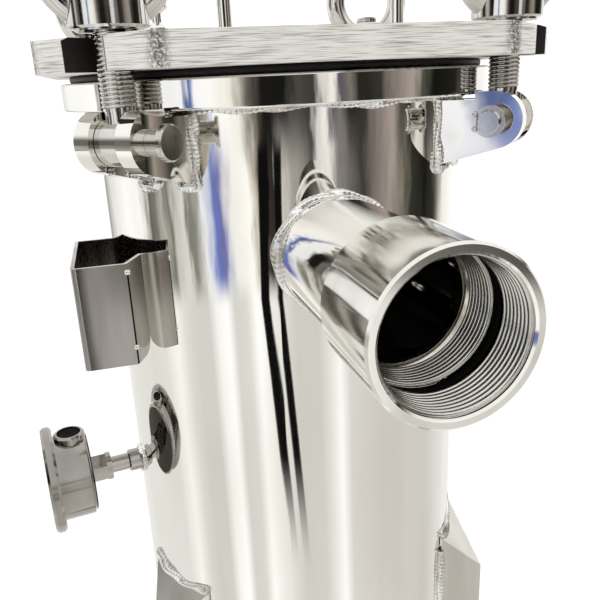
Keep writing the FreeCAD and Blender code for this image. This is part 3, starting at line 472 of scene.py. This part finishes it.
def makeGlass(name, s):
    material, add, place = newMaterial(name)
    smear = add("TexNoise", {"Vector": place, "Scale": 1 / (s["smear"] * mm), "Detail": 2.0})
    low, high = s["roughness"]
    level = add("MapRange", {"Value": smear, "To Min": low, "To Max": high})
    shader = add("BsdfPrincipled", {"Base Color": linear(s["colour"]), "Roughness": level, "IOR": s["ior"],
                                    "Transmission Weight": 1.0})
    add("OutputMaterial", {"Surface": shader})
    return material


steels = {name: makeSteel(name, {**steelDefaults, **s}) for name, s in steelSettings.items()}
plains = {name: makePlain(name, {"specular": 0.5, **s}) for name, s in plainSettings.items()}
weldMetal = steels["weld metal"]
turnedSteel = steels["turned stainless steel"]
# The record's material slots, and the nodes whose finish differs from their slot's.
finishes = {
    "polished_steel": steels["mirror polished stainless steel"],
    "brushed_steel_plate": makeBrushed("brushed stainless plate", brushedSettings),
    "turned_steel": turnedSteel,
    "cast_steel": steels["polished forged steel"],
    "satin_steel": steels["satin rolled stainless steel"],
    "sheet_steel": steels["bent stainless sheet"],
    "basket_steel": steels["pickled perforated sheet in painted shade"],
    "black_rubber": plains["black nitrile rubber"],
    "felt": plains["needled polyester felt"],
    "dial_white": plains["white enamelled dial"],
    "pointer_black": plains["black stoved lacquer"],
    "gauge_glass": makeGlass("clear instrument glass", glassSettings),
}
ownFinishes = {port + "_coupling": steels["polished coupling steel"] for port in ("inlet", "outlet")}
ownFinishes.update({"gauge_" + part: steels["drawn stainless steel"] for part in ("case", "bezel", "plug")})
ownFinishes.update({"gauge_" + part: steels["turned gauge fitting"] for part in ("hex", "stem", "boss")})


def dressNodes():
    # Gives every node of the frame its finish.
    slotOf = {item["node"]: item["material_slot"] for item in frame["record"]["subparts"]}
    for node, piece in frame["nodes"].items():
        piece.data.materials.clear()
        piece.data.materials.append(ownFinishes.get(node, finishes[slotOf[node]]))


dressNodes()
print("finishes given")


# Surfaces

def makePiece(name, corners, faces, material, body, smooth=True):
    # One object from an array of points and an array of four-sided faces.
    mesh = bpy.data.meshes.new(name)
    corners = np.asarray(corners, dtype=np.float64).reshape(-1, 3)
    faces = np.asarray(faces, dtype=np.int64)
    mesh.vertices.add(len(corners))
    mesh.vertices.foreach_set("co", corners.ravel())
    mesh.loops.add(faces.size)
    mesh.loops.foreach_set("vertex_index", faces.ravel())
    mesh.polygons.add(len(faces))
    mesh.polygons.foreach_set("loop_start", np.arange(len(faces)) * 4)
    mesh.update(calc_edges=True)
    mesh.validate()
    mesh.polygons.foreach_set("use_smooth", np.full(len(mesh.polygons), smooth))
    mesh.materials.append(material)
    piece = bpy.data.objects.new(name, mesh)
    bpy.context.scene.collection.objects.link(piece)
    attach(piece, body)
    return piece


def gridFaces(rows, columns, closedRows, closedColumns):
    # Quads over a grid of points, wrapped round where a direction is closed.
    i, j = np.meshgrid(np.arange(rows if closedRows else rows - 1),
                       np.arange(columns if closedColumns else columns - 1), indexing="ij")
    row, rowBelow, after = i * columns, (i + 1) % rows * columns, (j + 1) % columns
    quads = np.stack([row + j, row + after, rowBelow + after, rowBelow + j], axis=-1)
    return quads.reshape(-1, 4)


def sweptMesh(sections, closed):
    # sections[n, m] are closed outlines along a path; open ends are shut by shrinking to their middle.
    if not closed:
        first = np.repeat(sections[:1].mean(axis=1, keepdims=True), sections.shape[1], axis=1)
        last = np.repeat(sections[-1:].mean(axis=1, keepdims=True), sections.shape[1], axis=1)
        sections = np.concatenate([first, sections, last])
    return sections.reshape(-1, 3), gridFaces(sections.shape[0], sections.shape[1], closed, True)


def joinMeshes(parts):
    corners, faces, count = [], [], 0
    for points, quads in parts:
        corners.append(points)
        faces.append(quads + count)
        count += len(points)
    return np.concatenate(corners), np.concatenate(faces)


def unit(vectors):
    return vectors / np.maximum(np.linalg.norm(vectors, axis=-1, keepdims=True), 1e-12)


def resample(step, *tracks):
    # Even steps along the first track; the others follow it.
    lengths = np.linalg.norm(np.diff(tracks[0], axis=0), axis=1)
    far = np.concatenate([[0], np.cumsum(lengths)])
    wanted = np.linspace(0, far[-1], max(int(far[-1] / step), 8) + 1)
    return [np.stack([np.interp(wanted, far, track[:, k]) for k in range(3)], axis=1) for track in tracks]


def weldSection(corner, first, second, s, closed):
    # A fillet in the corner of two surfaces: an arc from one to the other, its height rippled by
    # overlapping half-moon drops, one every pitch, and its size made uneven by three slow sines.
    first, second = unit(first), unit(second)
    out = unit(first + second)
    lengths = np.linalg.norm(np.diff(corner, axis=0), axis=1)
    far = np.concatenate([[0], np.cumsum(lengths)])[:, None]
    across = np.linspace(0, 1, 9)[None, :]
    pitch = s["pitch"] * mm
    drop = np.mod(far / pitch + 0.45 * (2 * across - 1) ** 2, 1.0)
    uneven = (np.sin(far / (pitch * 2.7) + s["seed"]) + np.sin(far / (pitch * 4.3) + 2 * s["seed"])
              + np.sin(far / (pitch * 1.3) + 5 * across))
    size = s["width"] * mm * (1 + s["uneven"] * uneven / 3)
    height = s["bulge"] * size * np.sin(np.pi * across) ** 0.8
    height = height + s["ripple"] * size * (np.sqrt(1 - drop) - 0.5)
    edge = np.ones(across.shape)
    edge[:, [0, -1]] = 0
    arc = (corner[:, None] + first[:, None] * (size * (1 - across))[..., None]
           + second[:, None] * (size * across)[..., None] + out[:, None] * (height * edge)[..., None])
    root = (corner - out * s["width"] * mm * 0.25)[:, None]
    sections = np.concatenate([arc, root], axis=1)
    return sections[:-1] if closed else sections


# Welds: width, pitch and the places are in mm; bulge, ripple and uneven are shares of the width.
weldDefaults = {"width": 2.6, "pitch": 1.7, "bulge": 0.12, "ripple": 0.3, "uneven": 0.22}
weldSettings = {
    "flange_weld": {"width": 2.2, "pitch": 2.8, "bulge": 0.3, "uneven": 0.75},
    "inlet_weld": {"width": 2.9, "pitch": 2.6, "bulge": 0.28, "ripple": 0.16, "uneven": 0.5},
    "gauge_boss_weld": {"width": 2.0, "bulge": 0.3, "uneven": 0.5},
    "head_weld": {"width": 1.6, "bulge": 0.3, "ripple": 0.08, "uneven": 0.1},
    "outlet_weld": {"width": 3.2, "pitch": 3.0, "bulge": 0.22, "ripple": 0.08, "uneven": 0.25},
    "lug_welds": {"pitch": 2.1, "bulge": 0.34, "ripple": 0.2, "uneven": 0.55},
    "leg_welds": {"width": 3.4, "pitch": 2.6, "bulge": 0.3, "ripple": 0.16, "uneven": 0.5},
    "handle_welds": {"width": 2.0},
    "vent_weld": {"width": 1.4},
}


def weld(kind, seams, closed=False, ending=""):
    # seams: (corner, first, second) tracks in metres, each a bead of its own in one piece.
    parts = []
    for index, seam in enumerate(seams):
        s = {**weldDefaults, **weldSettings[kind], "seed": 0.3 + 1.7 * index}
        tracks = resample(s["pitch"] * mm / 6, *seam)
        parts.append(sweptMesh(weldSection(*tracks, s, closed), closed))
    corners, faces = joinMeshes(parts)
    makePiece(kind + ending, corners, faces, weldMetal, "housing")


def ringTrack(centre, wall, radius, count=360):
    # A level circle, with the directions outwards and up or down the wall.
    angle = np.linspace(0, 2 * np.pi, count)[:, None]
    out = np.cos(angle) * xAxis + np.sin(angle) * yAxis
    return centre + out * radius, out, np.repeat(wall[None], count, axis=0)


def turnedTrack(track, degrees):
    # Turns points or directions from the corner's own frame, x radial, about the upright axis.
    a = math.radians(degrees)
    turn = np.array([[math.cos(a), math.sin(a), 0], [-math.sin(a), math.cos(a), 0], [0, 0, 1]])
    return np.asarray(track, dtype=float) @ turn


xAxis, yAxis, zAxis = np.eye(3)
shellRadius = 109.5 * mm
boltReach = 137.6 * mm        # from the vessel's axis to a swing bolt's
gaugeLevel = 564.0 * mm
gaugeRight = np.array([-gaugeOut[1], gaugeOut[0], 0.0])   # to the right of someone who reads the dial
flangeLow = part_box("body_flange")[0][2]
inletLevel = (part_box("inlet_coupling")[0][2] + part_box("inlet_coupling")[1][2]) / 2
cornerTurns = {"front_left": 225, "front_right": 315, "back_right": 45, "back_left": 135}
legTurns = {"left": 210, "right": 330, "back": 90}


def saddleTrack(heading, side, level, radius):
    # Where a pipe of that radius meets the round wall: the wall's depth behind each point of the circle.
    angle = np.linspace(0, 2 * np.pi, 361)[:, None]
    across, up = np.cos(angle) * radius, np.sin(angle) * radius
    deep = np.sqrt(shellRadius ** 2 - across ** 2)
    corner = side * across + zAxis * (level + up) + heading * deep
    normal = unit(side * across + heading * deep)
    out = side * np.cos(angle) + zAxis * np.sin(angle)
    away = out - normal * (out * normal).sum(axis=1, keepdims=True)
    return corner, away, np.repeat(heading[None], len(angle), axis=0)


# Both ports' pipes, the gauge's boss, and how far the head's and the outlet's seams lie off the steel.
vesselSeams = {"pipeRadius": 30.15, "bossRadius": 7.0, "headInset": 0.2, "mouthRise": 1.0}


def makeVesselWelds(s):
    weld("flange_weld", [ringTrack(zAxis * flangeLow, -zAxis, shellRadius)], closed=True)
    weld("inlet_weld", [saddleTrack(-yAxis, xAxis, inletLevel, s["pipeRadius"] * mm)], closed=True)
    boss = saddleTrack(gaugeOut, gaugeRight, gaugeLevel, s["bossRadius"] * mm)
    weld("gauge_boss_weld", [boss], closed=True)
    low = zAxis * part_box("shell")[0][2]
    corner, _, down = ringTrack(low, -zAxis, shellRadius - s["headInset"] * mm)
    weld("head_weld", [(corner, -down, down)], closed=True)
    mouth = zAxis * (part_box("bottom_head")[0][2] + s["mouthRise"] * mm)
    weld("outlet_weld", [ringTrack(mouth, -zAxis, s["pipeRadius"] * mm)], closed=True)


# A plate's lower end, its outer and inner side off the corner's middle, and its rounded lower corners.
lugSeams = {"low": 749.0, "belowFlange": 2.0, "outer": 17.0, "inner": 8.0, "corner": 0.6}


def makeLugWelds(s):
    # Down the outside of each lug plate, under it and up its inner side.
    low, high = s["low"] * mm, flangeLow - s["belowFlange"] * mm
    outer, inner, cut = [s[key] * mm for key in ("outer", "inner", "corner")]
    path = [(outer, high), (outer, low + cut), (outer - cut, low),
            (inner + cut, low), (inner, low + cut), (inner, high)]
    for corner, turn in cornerTurns.items():
        seams = []
        for side in (1, -1):
            corners = [(math.sqrt(shellRadius ** 2 - y * y), side * y, z) for y, z in path]
            wallward = [(-0.15, side, 0)] * 2 + [(0, 0, -1)] * 2 + [(0.1, -side, 0)] * 2
            plateward = [(1, 0, 0)] * len(path)
            seams.append([turnedTrack(track, turn) for track in (corners, wallward, plateward)])
        weld("lug_welds", seams, ending="_" + corner)


# The welded run of an angle, its width and the cap's lip; the cap rises by capSlope towards the wall.
legSeams = {"low": 250.0, "high": 488.0, "width": 38.0, "lip": 1.5, "capLow": 458.0, "capSlope": 40 / 27.7}


def makeLegWelds(s):
    # Along the cut where the sloped cap meets the round wall, and down both edges of the angle.
    low, high, capLow = [s[key] * mm for key in ("low", "high", "capLow")]
    half = s["width"] * mm * math.sqrt(0.5)
    reach = math.sqrt(shellRadius ** 2 - half ** 2) + s["lip"] * mm + half
    spread = math.asin(half / shellRadius)
    angle = np.linspace(-spread, spread, 40)
    x, y = np.cos(angle) * shellRadius, np.sin(angle) * shellRadius
    cap = np.stack([x, y, capLow + (reach - x) * s["capSlope"]], axis=1)
    up = np.repeat(zAxis[None], len(angle), axis=0)
    down = np.repeat(unit(np.array([[1.0, 0.0, -s["capSlope"]]])), len(angle), axis=0)
    for leg, turn in legTurns.items():
        seams = [[turnedTrack(track, turn) for track in (cap, up, down)]]
        for side in (1, -1):
            edge = [(x[0], side * half, high), (x[0], side * half, low)]
            ways = [(-0.25, side, 0)] * 2, [(1, 0.2 * side, 0)] * 2
            seams.append([turnedTrack(track, turn) for track in (edge, *ways)])
        weld("leg_welds", seams, ending="_" + leg)


# The handle's feet, measured from its ends, and the vent's body.
lidSeams = {"handleRadius": 3.4, "handleInset": 3.5, "ventRadius": 5.0}


def makeLidWelds(s):
    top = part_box("lid")[1][2]
    low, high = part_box("lid_handle")
    inset = s["handleInset"] * mm
    feet = [np.array([x, (low[1] + high[1]) / 2, top]) for x in (low[0] + inset, high[0] - inset)]
    rings = [ringTrack(foot, zAxis, s["handleRadius"] * mm, 60) for foot in feet]
    weld("handle_welds", rings, closed=True)
    low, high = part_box("vent_body")
    foot = np.array([(low[0] + high[0]) / 2, (low[1] + high[1]) / 2, top])
    weld("vent_weld", [ringTrack(foot, zAxis, s["ventRadius"] * mm, 90)], closed=True)


makeVesselWelds(vesselSeams)
makeLugWelds(lugSeams)
makeLegWelds(legSeams)
makeLidWelds(lidSeams)
print("welds laid")


def spunMesh(centre, across, along, axis, outline, count=96, teeth=0, depth=0.0):
    # A closed outline of (radius, height) turned about an axis. With teeth, the radius falls by depth
    # times the square of a sine that repeats once a tooth, only where the outline is at its widest.
    outline = np.asarray(outline, dtype=float)
    angle = np.arange(count)[:, None] * 2 * np.pi / count
    radius = np.repeat(outline[None, :, 0], count, axis=0)
    widest = (outline[:, 0] > outline[:, 0].max() - 1e-6)[None, :]
    radius = radius - depth * np.sin(angle * teeth / 2) ** 2 * widest
    points = (centre + axis * outline[None, :, 1, None] + across * (radius * np.cos(angle))[..., None]
              + along * (radius * np.sin(angle))[..., None])
    return points.reshape(-1, 3), gridFaces(count, len(outline), True, True)


def threadMesh(base, axis, across, along, root, crest, pitch, length, segments):
    # A helical ridge: the radius runs root, crest, root over one pitch while the point goes round,
    # and the ridge fades out over the first and the last half turn.
    turns = length / pitch - 1
    angle = np.linspace(0, 2 * np.pi * turns, int(turns * segments) + 1)[:, None]
    share = np.array([0.02, 0.42, 0.58, 0.98, 0.5])[None, :]
    rise = np.array([0.0, 1.0, 1.0, 0.0, -0.25])[None, :]
    fade = np.clip(np.minimum(angle, angle[-1] - angle) / np.pi, 0.02, 1)
    radius = root + (crest - root) * rise * fade
    deep = pitch * (angle / (2 * np.pi) + share)
    sections = (base + axis * deep[..., None] + across * (radius * np.cos(angle))[..., None]
                + along * (radius * np.sin(angle))[..., None])
    return sweptMesh(sections, False)


threadSettings = {
    "boltRoot": 7.25,
    "boltCrest": 7.9,
    "boltPitch": 2.0,
    "boltRun": (787.0, 838.6),      # levels between which the bolt is threaded
    "portRoot": 29.35,
    "portCrest": 28.0,
    "portPitch": 2.309,             # 11 threads to the inch
    "portEnd": 0.6,                 # from the coupling's mouth to the first thread
    "portGap": 2.2,                 # plain bore beside the middle groove and at the back
    "groove": (29.0, 29.3, 1.9),    # inner and outer radius and half width
}


def makeThreads(s):
    low, high = [level * mm for level in s["boltRun"]]
    for corner, turn in cornerTurns.items():
        base = turnedTrack([[boltReach, 0, low]], turn)
        corners, faces = threadMesh(base, zAxis, xAxis, yAxis, s["boltRoot"] * mm, s["boltCrest"] * mm,
                                    s["boltPitch"] * mm, high - low, 32)
        makePiece("bolt_thread_" + corner, corners, faces, turnedSteel, "swing_bolt_" + corner)
    inlet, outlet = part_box("inlet_coupling"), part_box("outlet_coupling")
    ports = {"inlet": (zAxis * inletLevel, -yAxis, xAxis, zAxis, -inlet[1][1], -inlet[0][1]),
             "outlet": (zAxis * 0.0, -zAxis, xAxis, yAxis, -outlet[1][2], -outlet[0][2])}
    gap = s["portGap"] * mm
    inner, outer, deep = [value * mm for value in s["groove"]]
    groove = np.array([(inner, -deep), (outer, -deep), (outer, deep), (inner, deep)])
    for port, (centre, axis, across, along, back, front) in ports.items():
        half = (back + front) / 2
        runs = [(half + gap, front - s["portEnd"] * mm), (back + gap, half - gap)]
        parts = [threadMesh(centre + axis * low, axis, across, along, s["portRoot"] * mm,
                            s["portCrest"] * mm, s["portPitch"] * mm, high - low, 72) for low, high in runs]
        corners, faces = joinMeshes(parts)
        makePiece(port + "_thread", corners, faces[:, ::-1], turnedSteel, "housing")
        # A black ring in the middle groove: painted shade for the deep undercut.
        corners, faces = spunMesh(centre + axis * half, across, along, axis, groove)
        makePiece(port + "_groove_shade", corners, faces[:, ::-1], plains["shadowed joint"], "housing")


makeThreads(threadSettings)
print("threads cut")


def roundedBlock(inner, outer, low, high, bevel):
    # The outline of a ring with a rectangular section and two bevelled outer corners.
    return [(inner, low), (outer - bevel, low), (outer, low + bevel), (outer, high - bevel),
            (outer - bevel, high), (inner, high)]


# along is measured on the pin from the bolt's middle; the front left pin and its clip stand out by pulled.
clipSettings = {"along": -26.5, "pulled": 8.1, "level": 773.0, "reach": 6.9, "apart": 3.4, "hole": 0.7,
                "radius": 1.75, "thick": 1.2, "bevel": 0.2}


def makeClipEars(s):
    # The two eyes at a spring clip's open ends, by which pliers spread it, each a turned ring.
    outline = np.array(roundedBlock(s["hole"], s["radius"], 0.0, s["thick"], s["bevel"])) * mm
    for corner, turn in cornerTurns.items():
        along = (s["along"] + (s["pulled"] if corner == "front_left" else 0.0)) * mm
        parts = []
        for side in (1, -1):
            centre = np.array([boltReach - s["reach"] * mm, along, (s["level"] + side * s["apart"]) * mm])
            parts.append(spunMesh(centre, zAxis, xAxis, yAxis, outline, 20))
        corners, faces = joinMeshes(parts)
        makePiece("clip_ears_" + corner, turnedTrack(corners, turn), faces, turnedSteel,
                  "hinge_pin_" + corner)


bracketSettings = {
    "fold": (-103.2, -72.6),      # x and y of the joint
    "run": (654.2, 704.5),
    "gap": 0.9,
    "depth": (-0.06, 0.3),        # from just proud of the face inwards
    "tacks": (705.7, 663.8),
    "tackSize": (1.7, 1.0, 1.5),
    "tackProud": 0.2,
}


def beadMesh(centre, size, seed):
    # An ellipsoid whose surface is lumped by two products of sines, as a drop of weld metal.
    high = np.linspace(0.06, 0.94, 12)[:, None] * np.pi
    angle = np.arange(18)[None, :] * 2 * np.pi / 18
    lump = 1 + 0.09 * np.sin(3 * angle + seed) * np.sin(2 * high) + 0.05 * np.sin(5 * angle - seed)
    points = np.stack([np.sin(high) * np.cos(angle) * lump * size[0],
                       np.sin(high) * np.sin(angle) * lump * size[1],
                       np.cos(high) * np.ones_like(angle) * size[2]], axis=-1)
    return sweptMesh(centre + points[::-1], False)


def makeBracketJoint(s):
    # The open joint between the plate's face and its tab, a thin dark strip of painted shadow, tacked near
    # both ends.
    x, y = s["fold"]
    half = s["gap"] / 2
    front, back = [y + depth for depth in s["depth"]]
    corner = [(x - half, front), (x + half, front), (x + half, back), (x - half, back)]
    sections = np.array([[(a, b, z) for a, b in corner] for z in np.linspace(*s["run"], 30)]) * mm
    corners, faces = sweptMesh(sections, False)
    makePiece("bracket_joint_shadow", corners, faces, plains["shadowed joint"], "housing",
              smooth=False)
    beads = [beadMesh(np.array([x, y - s["tackProud"], z]) * mm, np.array(s["tackSize"]) * mm, index)
             for index, z in enumerate(s["tacks"])]
    corners, faces = joinMeshes(beads)
    makePiece("bracket_tacks", corners, faces, weldMetal, "housing")


dialSettings = {
    "face": 162.5,              # along the gauge's axis
    "start": 225.0,             # degrees of the zero and round to the last mark
    "span": 270.0,
    "top": 10,
    "each": 5,                  # marks for each unit
    "every": 2,                 # units from figure to figure
    "outside": 22.3,
    "major": (4.2, 0.55),       # length and width of a mark
    "minor": (2.2, 0.28),
    "figure": 15.0,
    "height": 4.0,
    "thick": 0.06,
}


def dialPoint(points, s):
    # Points (right, up, out) in mm on the dial's face, put in the gauge's place.
    points = np.asarray(points, dtype=float) * mm
    right, up, out = points[..., 0:1], points[..., 1:2], points[..., 2:3]
    return gaugeOut * (s["face"] * mm + out) + gaugeRight * right + zAxis * up + zAxis * gaugeLevel


def barMesh(start, end, width, thick):
    # A thin straight bar on the dial from start to end.
    side = np.array([end[1] - start[1], start[0] - end[0]])
    side = side / np.linalg.norm(side) * width / 2
    outline = [start - side, end - side, end + side, start + side]
    points = [(*spot, out) for out in (0.0, thick) for spot in outline]
    edges = [(i, (i + 1) % 4, (i + 1) % 4 + 4, i + 4) for i in range(4)]
    return np.array(points), [(3, 2, 1, 0), (4, 5, 6, 7), *edges]


def figureMesh(text, place, height, thick):
    # A printed figure: the font's own outline, made a mesh and centred on its place.
    curve = bpy.data.curves.new("figure", "FONT")
    curve.body = text
    curve.size = height
    curve.extrude = thick / 2
    curve.align_x = "CENTER"
    curve.align_y = "CENTER"
    holder = bpy.data.objects.new("figure", curve)
    bpy.context.scene.collection.objects.link(holder)
    mesh = bpy.data.meshes.new_from_object(holder.evaluated_get(bpy.context.evaluated_depsgraph_get()))
    bpy.data.objects.remove(holder)
    points = np.array([tuple(vertex.co) for vertex in mesh.vertices]) + (place[0], place[1], thick / 2)
    return points, [tuple(face.vertices) for face in mesh.polygons]


def makeDialMarks(s):
    # Marks turn evenly from start over span, and a figure stands inside at every second unit.
    points, faces, count = [], [], 0
    shapes = []
    last = s["top"] * s["each"]
    for index in range(last + 1):
        angle = math.radians(s["start"] - s["span"] * index / last)
        way = np.array([math.cos(angle), math.sin(angle)])
        length, width = s["minor" if index % s["each"] else "major"]
        shapes.append(barMesh(way * (s["outside"] - length), way * s["outside"], width, s["thick"]))
        if index % (s["each"] * s["every"]) == 0:
            shapes.append(figureMesh(str(index // s["each"]), way * s["figure"], s["height"], s["thick"]))
    for corners, polygons in shapes:
        points.append(corners)
        faces += [tuple(vertex + count for vertex in polygon) for polygon in polygons]
        count += len(corners)
    mesh = bpy.data.meshes.new("dial_marks")
    mesh.from_pydata(dialPoint(np.concatenate(points), s).tolist(), [], faces)
    mesh.materials.append(plains["black stoved lacquer"])
    piece = bpy.data.objects.new("dial_marks", mesh)
    bpy.context.scene.collection.objects.link(piece)
    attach(piece, "housing")


plugSettings = {
    "reach": 152.5,             # along the gauge's axis
    "rise": 28.0,
    "outline": [(0.05, 0.0), (6.9, 0.0), (7.1, 0.3), (7.0, 1.0), (6.4, 1.3), (3.0, 1.1), (1.4, 0.6),
                (0.05, 0.5)],
}


def makeGaugePlug(s):
    # The soft filling plug in its steel seat: a low crowned disc with a dimple, turned from its outline.
    centre = gaugeOut * s["reach"] * mm + zAxis * (gaugeLevel + s["rise"] * mm)
    corners, faces = spunMesh(centre, xAxis, yAxis, zAxis, np.array(s["outline"]) * mm, 64)
    # The disc is the plug's black rubber, but it wears the shadowed joint's black, which also paints the
    # shade in the plug's bore.
    makePiece("gauge_plug_disc", corners, faces, plains["shadowed joint"], "housing")


knurlSettings = {"below": (7.8, 1.4), "inner": 9.3, "outer": 10.45, "bevel": 0.5, "teeth": 40,
                 "depth": 0.55}


def makeKnurl(s):
    # A ring round the vent knob, from and to a depth below its top, its rim cut into even teeth.
    near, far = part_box("vent_knob")
    low, high = [far[2] - below * mm for below in s["below"]]
    outline = roundedBlock(s["inner"] * mm, s["outer"] * mm, 0.0, high - low, s["bevel"] * mm)
    centre = np.array([(near[0] + far[0]) / 2, (near[1] + far[1]) / 2, low])
    corners, faces = spunMesh(centre, xAxis, yAxis, zAxis, outline, 240, s["teeth"], s["depth"] * mm)
    makePiece("vent_knob_knurl", corners, faces, turnedSteel, "vent_knob", smooth=False)


bagSettings = {
    "outer": 87.4,
    "wall": 2.0,
    "floor": 268.0,
    "corner": 14.0,
    "top": 664.0,
    "rim": 103.4,
    "hoop": 5.0,
    "folds": 11,
    "sag": 1.5,
    "seam": 0.5,
}


def makeBag(s):
    # A felt cup turned from one outline: outer wall, hoop and inner wall. Both walls are drawn in
    # together by slow folds, a sine round the bag times a sine up it, and at the sewn seam.
    def wall(inset):
        angle = np.linspace(0, np.pi / 2, 9)
        bend = s["corner"] - inset
        r = s["outer"] - s["corner"] + bend * np.sin(angle)
        z = s["floor"] + s["corner"] - bend * np.cos(angle)
        up = np.linspace(s["floor"] + s["corner"] + 8, s["top"] - 4, 50)
        bottom = [(0.3, z[0]), (r[0] * 0.5, z[0])]
        upright = np.stack([np.full(len(up), s["outer"] - inset), up], axis=1)
        return np.concatenate([bottom, np.stack([r, z], axis=1), upright])
    high = s["top"] + s["hoop"]
    outside, inside = wall(0.0), wall(s["wall"])[::-1]
    rim = [(s["outer"], s["top"]), (s["rim"] - 1, s["top"]), (s["rim"], s["top"] + 1), (s["rim"], high - 1),
           (s["rim"] - 1, high), (s["outer"] - s["wall"], high)]
    outline = np.concatenate([outside, rim, inside])
    across, level = outline[None, :, 0], outline[None, :, 1]
    angle = np.arange(240)[:, None] * 2 * np.pi / 240
    height = np.clip((level - s["floor"]) / (s["top"] - s["floor"]), 0, 1)
    slack = np.sin(np.pi * height) ** 0.7
    fold = 0.5 + 0.5 * np.sin(s["folds"] * angle + 2.2 * np.sin(7 * height))
    seam = s["seam"] * np.exp(-(np.sin(angle / 2) * 2 * s["outer"] / 4) ** 2) * (height > 0.04)
    radius = across * (1 - s["sag"] / s["outer"] * fold * slack) - seam * (across > 60)
    points = [radius * np.cos(angle), radius * np.sin(angle), level * np.ones_like(angle)]
    faces = gridFaces(len(angle), len(outline), True, True)
    bag = makePiece("felt_bag", np.stack(points, axis=-1) * mm, faces, plains["needled polyester felt"],
                    "housing")
    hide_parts("filter_bag")


makeClipEars(clipSettings)
makeBracketJoint(bracketSettings)
makeDialMarks(dialSettings)
makeGaugePlug(plugSettings)
makeKnurl(knurlSettings)
makeBag(bagSettings)
print("small pieces made")


# Floor

floorSettings = {"half": 6.0}     # metres from the middle to an edge


def makeFloor(s):
    half = s["half"]
    mesh = bpy.data.meshes.new("floor")
    corners = [(-half, -half, 0), (half, -half, 0), (half, half, 0), (-half, half, 0)]
    mesh.from_pydata(corners, [], [(0, 1, 2, 3)])
    mesh.materials.append(plains["pale studio floor"])
    floor = bpy.data.objects.new("floor", mesh)
    bpy.context.scene.collection.objects.link(floor)
    floor.visible_glossy = False    # the vessel reflects the studio's own floor instead


makeFloor(floorSettings)
print("floor laid")
